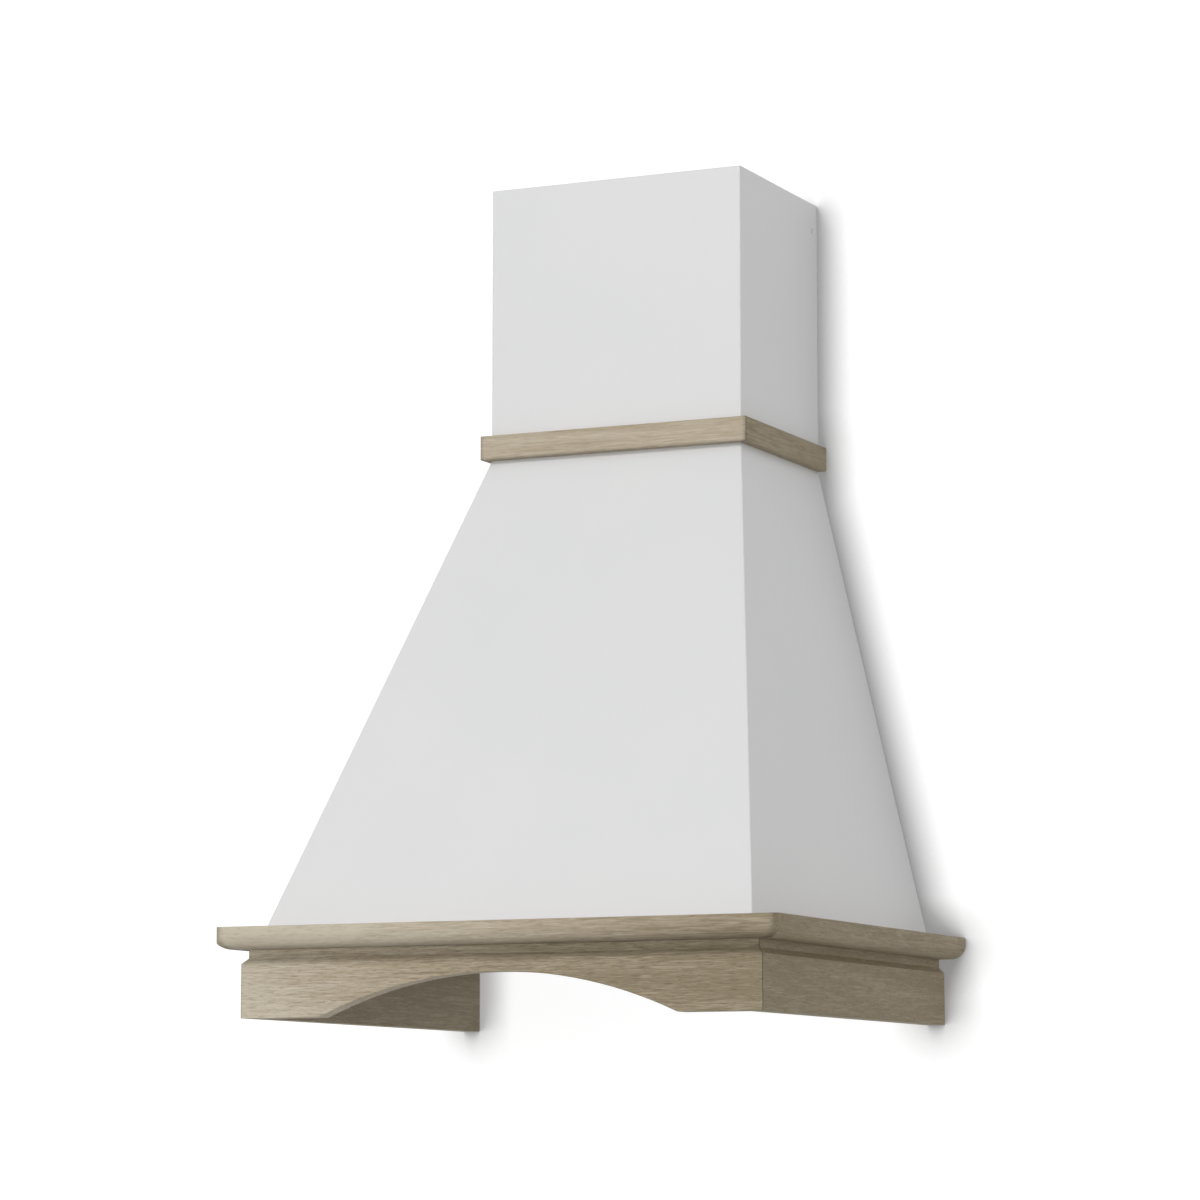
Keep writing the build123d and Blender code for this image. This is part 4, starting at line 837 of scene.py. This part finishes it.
def curved_blade(form, place, turn, radius, half):
    """A forward-curved strip from the inner circle to the rim, through the middle plate."""
    points = []
    for step in range(BLADE_STEPS + 1):
        share = step / BLADE_STEPS
        reach = radius - BLADE_CHORD * (1 - share) - BLADE_INSET
        angle = turn + BLADE_LEAD * share**2
        for offset in (-BLADE_SHEET / 2, BLADE_SHEET / 2):
            swing = angle + offset / reach
            for x in (-half, half):
                points.append(place @ Vector((reach * math.cos(swing), reach * math.sin(swing), x)))
    faces = []
    for step in range(BLADE_STEPS):
        a = step * 4
        b = a + 4
        faces += [(a, a + 1, b + 1, b), (a + 3, a + 2, b + 2, b + 3)]
        faces += [(a + 1, a + 3, b + 3, b + 1), (a + 2, a, b, b + 2)]
    last = BLADE_STEPS * 4
    faces += [(0, 2, 3, 1), (last, last + 1, last + 3, last + 2)]
    form.add(points, faces)


def button_marks():
    """Printed signs beside the buttons: a lamp, and the figures 0 to 3."""
    bezel = millimetres("control_bezel")[0]
    front = bezel.y + MARK_MARGIN
    for sign, button in MARKS:
        left, right = millimetres(button)
        data = bpy.data.curves.new("mark_" + sign, "FONT")
        data.body = sign
        data.align_x = "CENTER"
        data.size = MARK_SIZE / MM_PER_M
        data.extrude = MARK_RISE / MM_PER_M
        mark = bpy.data.objects.new("mark_" + sign, data)
        foot = Vector(((left.x + right.x) / 2, front + MARK_SIZE * DIGIT_SETBACK, bezel.z))
        mark.matrix_world = Matrix.Translation(foot / MM_PER_M) @ Matrix.Rotation(math.pi, 4, "X")
        bpy.context.scene.collection.objects.link(mark)
        data.materials.append(PRINT)
        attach(mark, "hood")
    lamp_mark(front + MARK_SIZE * SUN_SETBACK, bezel.z)


def lamp_mark(y, z):
    """A small sun for the lamp button."""
    left, right = millimetres("light_button")
    x = (left.x + right.x) / 2
    inner, outer = SUN_RING
    ring = [(outer, -MARK_RISE), (outer, MARK_RISE), (inner, MARK_RISE), (inner, -MARK_RISE)]
    form = Form()
    form.turned(ring, upright(x, y, z), SUN_SEGMENTS, closed=True)
    middle = Vector((x, y, z))
    for index in range(SUN_RAYS):
        angle = 2 * math.pi * index / SUN_RAYS
        ray = Vector((math.cos(angle), math.sin(angle), 0))
        form.bar(middle + SUN_RAY[0] * ray, middle + SUN_RAY[1] * ray, SUN_RAY_WIDTH, 2 * MARK_RISE)
    piece = form.piece("mark_lamp", PRINT, smooth=False)
    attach(piece, "hood")


def latch_ribs(side):
    """Ribs across the finger grip of a latch."""
    low, high = millimetres("filter_latch_" + side)
    middle = (low.x + high.x) / 2
    y = low.y + RIB_SETBACK
    z = low.z + RIB_LEVEL
    form = Form()
    for index in range(RIB_COUNT):
        x = middle + (index - (RIB_COUNT - 1) / 2) * RIB_PITCH
        form.bar(Vector((x, y - RIB_REACH, z)), Vector((x, y, z)), RIB_WIDTH, RIB_HEIGHT)
    piece = form.piece("latch_ribs_" + side, BLACK, smooth=False)
    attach(piece, "latch_" + side)


def spring_line(low, high):
    """Middle of the spring's strip in plan: flat feet at the ends, and a crown over the middle third."""
    half = (high.x - low.x) / 2
    rise = high.y - low.y - SPRING_STRIP
    line = []
    for step in range(SPRING_STEPS + 1):
        along = 2 * step / SPRING_STEPS - 1
        climb = min(1, (1 - abs(along)) / (1 - SPRING_CROWN))
        lift = rise * climb**2 * (3 - 2 * climb)
        line.append(Vector((low.x + half * (1 + along), high.y - SPRING_STRIP / 2 - lift, 0)))
    return line


def latch_spring(side):
    """The bent flat spring behind a latch, as a fixed mesh of its own; the real spring flattens on its
    seat as the latch goes back.
    """
    node = "latch_spring_" + side
    low, high = millimetres(node)
    line = spring_line(low, high)
    points = []
    for index, at in enumerate(line):
        along = (line[min(index + 1, SPRING_STEPS)] - line[max(index - 1, 0)]).normalized()
        aside = Vector((-along.y, along.x, 0)) * SPRING_STRIP / 2
        points += [at + way * aside + Vector((0, 0, z))
                   for way, z in ((-1, low.z), (1, low.z), (1, high.z), (-1, high.z))]
    faces = []
    for here in range(0, 4 * SPRING_STEPS, 4):
        there = here + 4
        faces += [(here + edge, here + (edge + 1) % 4, there + (edge + 1) % 4, there + edge)
                  for edge in range(4)]
    last = 4 * SPRING_STEPS
    faces += [(3, 2, 1, 0), (last, last + 1, last + 2, last + 3)]
    form = Form()
    form.add(points, faces)
    piece = form.piece("latch_spring_bent_" + side, SPRING, smooth=False)
    stand_in(piece, "filter_" + side, "spring_steel", node)
    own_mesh(piece)


def make_pieces():
    for side in ("left", "right"):
        filter_net(side)
        lamp_glass(side, lamp_ring(side))
        latch_ribs(side)
        latch_spring(side)
    blower_screws()
    chimney_screws()
    grommets()
    gasket()
    fine_impeller()
    button_marks()


# Stage, light and camera


def contact_shade(graph, level):
    """Tone of a wall that darkens close to the hood, but not down at a floor of the given level.

    In the hollow under the hood it darkens beside the boards alone."""
    occlusion = graph.add("AmbientOcclusion", samples=CONTACT_SAMPLES)
    occlusion.inputs["Distance"].default_value = CONTACT_REACH
    tone = graph.span(occlusion.outputs["AO"], CONTACT_TONE, 1.0, CONTACT_OPENNESS, 1.0)
    axes = graph.axes()
    clear = graph.span(axes[HIGH], 1.0, 0.0, level, level + FLOOR_DROP / 2)
    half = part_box("right_board")[0][0]
    from_board = graph.math("SUBTRACT", half, graph.math("ABSOLUTE", axes[WIDE]))
    below = graph.math("LESS_THAN", axes[HIGH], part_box("base_pan")[0][2])
    inside = graph.math("MULTIPLY", graph.math("GREATER_THAN", from_board, 0.0), below)
    fade = graph.span(from_board, HOLLOW_TONE, 1.0, 0.0, HOLLOW_REACH, "SMOOTHSTEP")
    hollow = graph.math("MULTIPLY", inside, fade)
    return graph.math("MAXIMUM", tone, graph.math("MAXIMUM", clear, hollow))


def one_sided(name, colour, lift, floor=None):
    """A pale surface that can't be seen from behind. A wall, which names its floor, neither blocks light
    nor returns any."""
    graph = Graph(name)
    graph.set("Base Color", (*colour, 1))
    graph.set("Roughness", 1.0)
    graph.set("Specular IOR Level", 0.0)
    graph.set("Emission Color", (1, 1, 1, 1))
    path = graph.add("LightPath")
    seen = graph.math("MAXIMUM", path.outputs["Is Camera Ray"], path.outputs["Is Glossy Ray"])
    seen = graph.math("MAXIMUM", seen, path.outputs["Is Transmission Ray"])
    strength = graph.math("MULTIPLY", seen, lift)
    hidden = graph.add("NewGeometry").outputs["Backfacing"]
    if floor is not None:
        strength = graph.math("MULTIPLY", strength, contact_shade(graph, floor))
        hidden = graph.math("MAXIMUM", hidden, path.outputs["Is Diffuse Ray"])
        hidden = graph.math("MAXIMUM", hidden, path.outputs["Is Shadow Ray"])
    graph.feed("Emission Strength", strength)
    choose = graph.add("MixShader")
    graph.link(hidden, choose.inputs[0])
    graph.link(graph.shader.outputs[0], choose.inputs[1])
    graph.link(graph.add("BsdfTransparent").outputs[0], choose.inputs[2])
    graph.link(choose.outputs[0], graph.tree.nodes["Material Output"].inputs["Surface"])
    return graph.material


def stage_plane(name, corners, material):
    mesh = bpy.data.meshes.new(name)
    mesh.from_pydata(corners, [], [(0, 1, 2, 3)])
    plane = bpy.data.objects.new(name, mesh)
    bpy.context.scene.collection.objects.link(plane)
    dress(plane, material)


def make_stage():
    """A wall close behind the hood, and a floor below it."""
    y = WALL_GAP
    half = WALL_HALF
    floor = cad_box[0].z - FLOOR_DROP
    wall = one_sided("wall_paint", WALL_COLOUR, WALL_LIFT, floor)
    stage_plane("wall", [(-half, y, floor), (half, y, floor), (half, y, half), (-half, y, half)], wall)
    ground = one_sided("pale_floor", FLOOR_COLOUR, FLOOR_LIFT)
    corners = [(-half, -half, floor), (half, -half, floor), (half, y, floor), (-half, y, floor)]
    stage_plane("floor", corners, ground)


def area_light(name, place, target, size, power):
    data = bpy.data.lights.new(name, "AREA")
    data.shape = "SQUARE"
    data.size = size
    data.energy = power
    light = bpy.data.objects.new(name, data)
    light.location = place
    light.rotation_euler = (Vector(target) - Vector(place)).to_track_quat("-Z", "Y").to_euler()
    bpy.context.scene.collection.objects.link(light)


def make_world():
    """Soft light all round, seen as white by the camera, in gloss and through glass."""
    world = bpy.data.worlds.new("studio")
    world.use_nodes = True
    bpy.context.scene.world = world
    tree = world.node_tree
    soft = tree.nodes["Background"]
    soft.inputs["Color"].default_value = (1, 1, 1, 1)
    soft.inputs["Strength"].default_value = WORLD_LIGHT
    pale = tree.nodes.new("ShaderNodeBackground")
    pale.inputs["Strength"].default_value = WORLD_SEEN
    path = tree.nodes.new("ShaderNodeLightPath")
    glossy = tree.nodes.new("ShaderNodeMath")
    glossy.operation = "MAXIMUM"
    seen = tree.nodes.new("ShaderNodeMath")
    seen.operation = "MAXIMUM"
    choose = tree.nodes.new("ShaderNodeMixShader")
    links = tree.links
    links.new(path.outputs["Is Camera Ray"], glossy.inputs[0])
    links.new(path.outputs["Is Glossy Ray"], glossy.inputs[1])
    links.new(glossy.outputs[0], seen.inputs[0])
    links.new(path.outputs["Is Transmission Ray"], seen.inputs[1])
    links.new(seen.outputs[0], choose.inputs[0])
    links.new(soft.outputs[0], choose.inputs[1])
    links.new(pale.outputs[0], choose.inputs[2])
    links.new(choose.outputs[0], tree.nodes["World Output"].inputs["Surface"])


def make_light():
    make_world()
    for name, place, target, size, power in STUDIO_LIGHTS:
        area_light(name, place, target, size, power)


def make_camera():
    data = bpy.data.cameras.new("camera")
    data.lens = CAMERA_LENS
    data.sensor_width = CAMERA_SENSOR
    camera = bpy.data.objects.new("camera", data)
    camera.location = CAMERA_PLACE
    turn = math.radians(CAMERA_TURN)
    pitch = math.radians(90 + CAMERA_PITCH)
    camera.rotation_euler = (pitch, 0, turn)
    bpy.context.scene.collection.objects.link(camera)
    bpy.context.scene.camera = camera


dress_cad()
make_pieces()
make_stage()
make_light()
make_camera()
bpy.context.scene.view_settings.view_transform = "Standard"
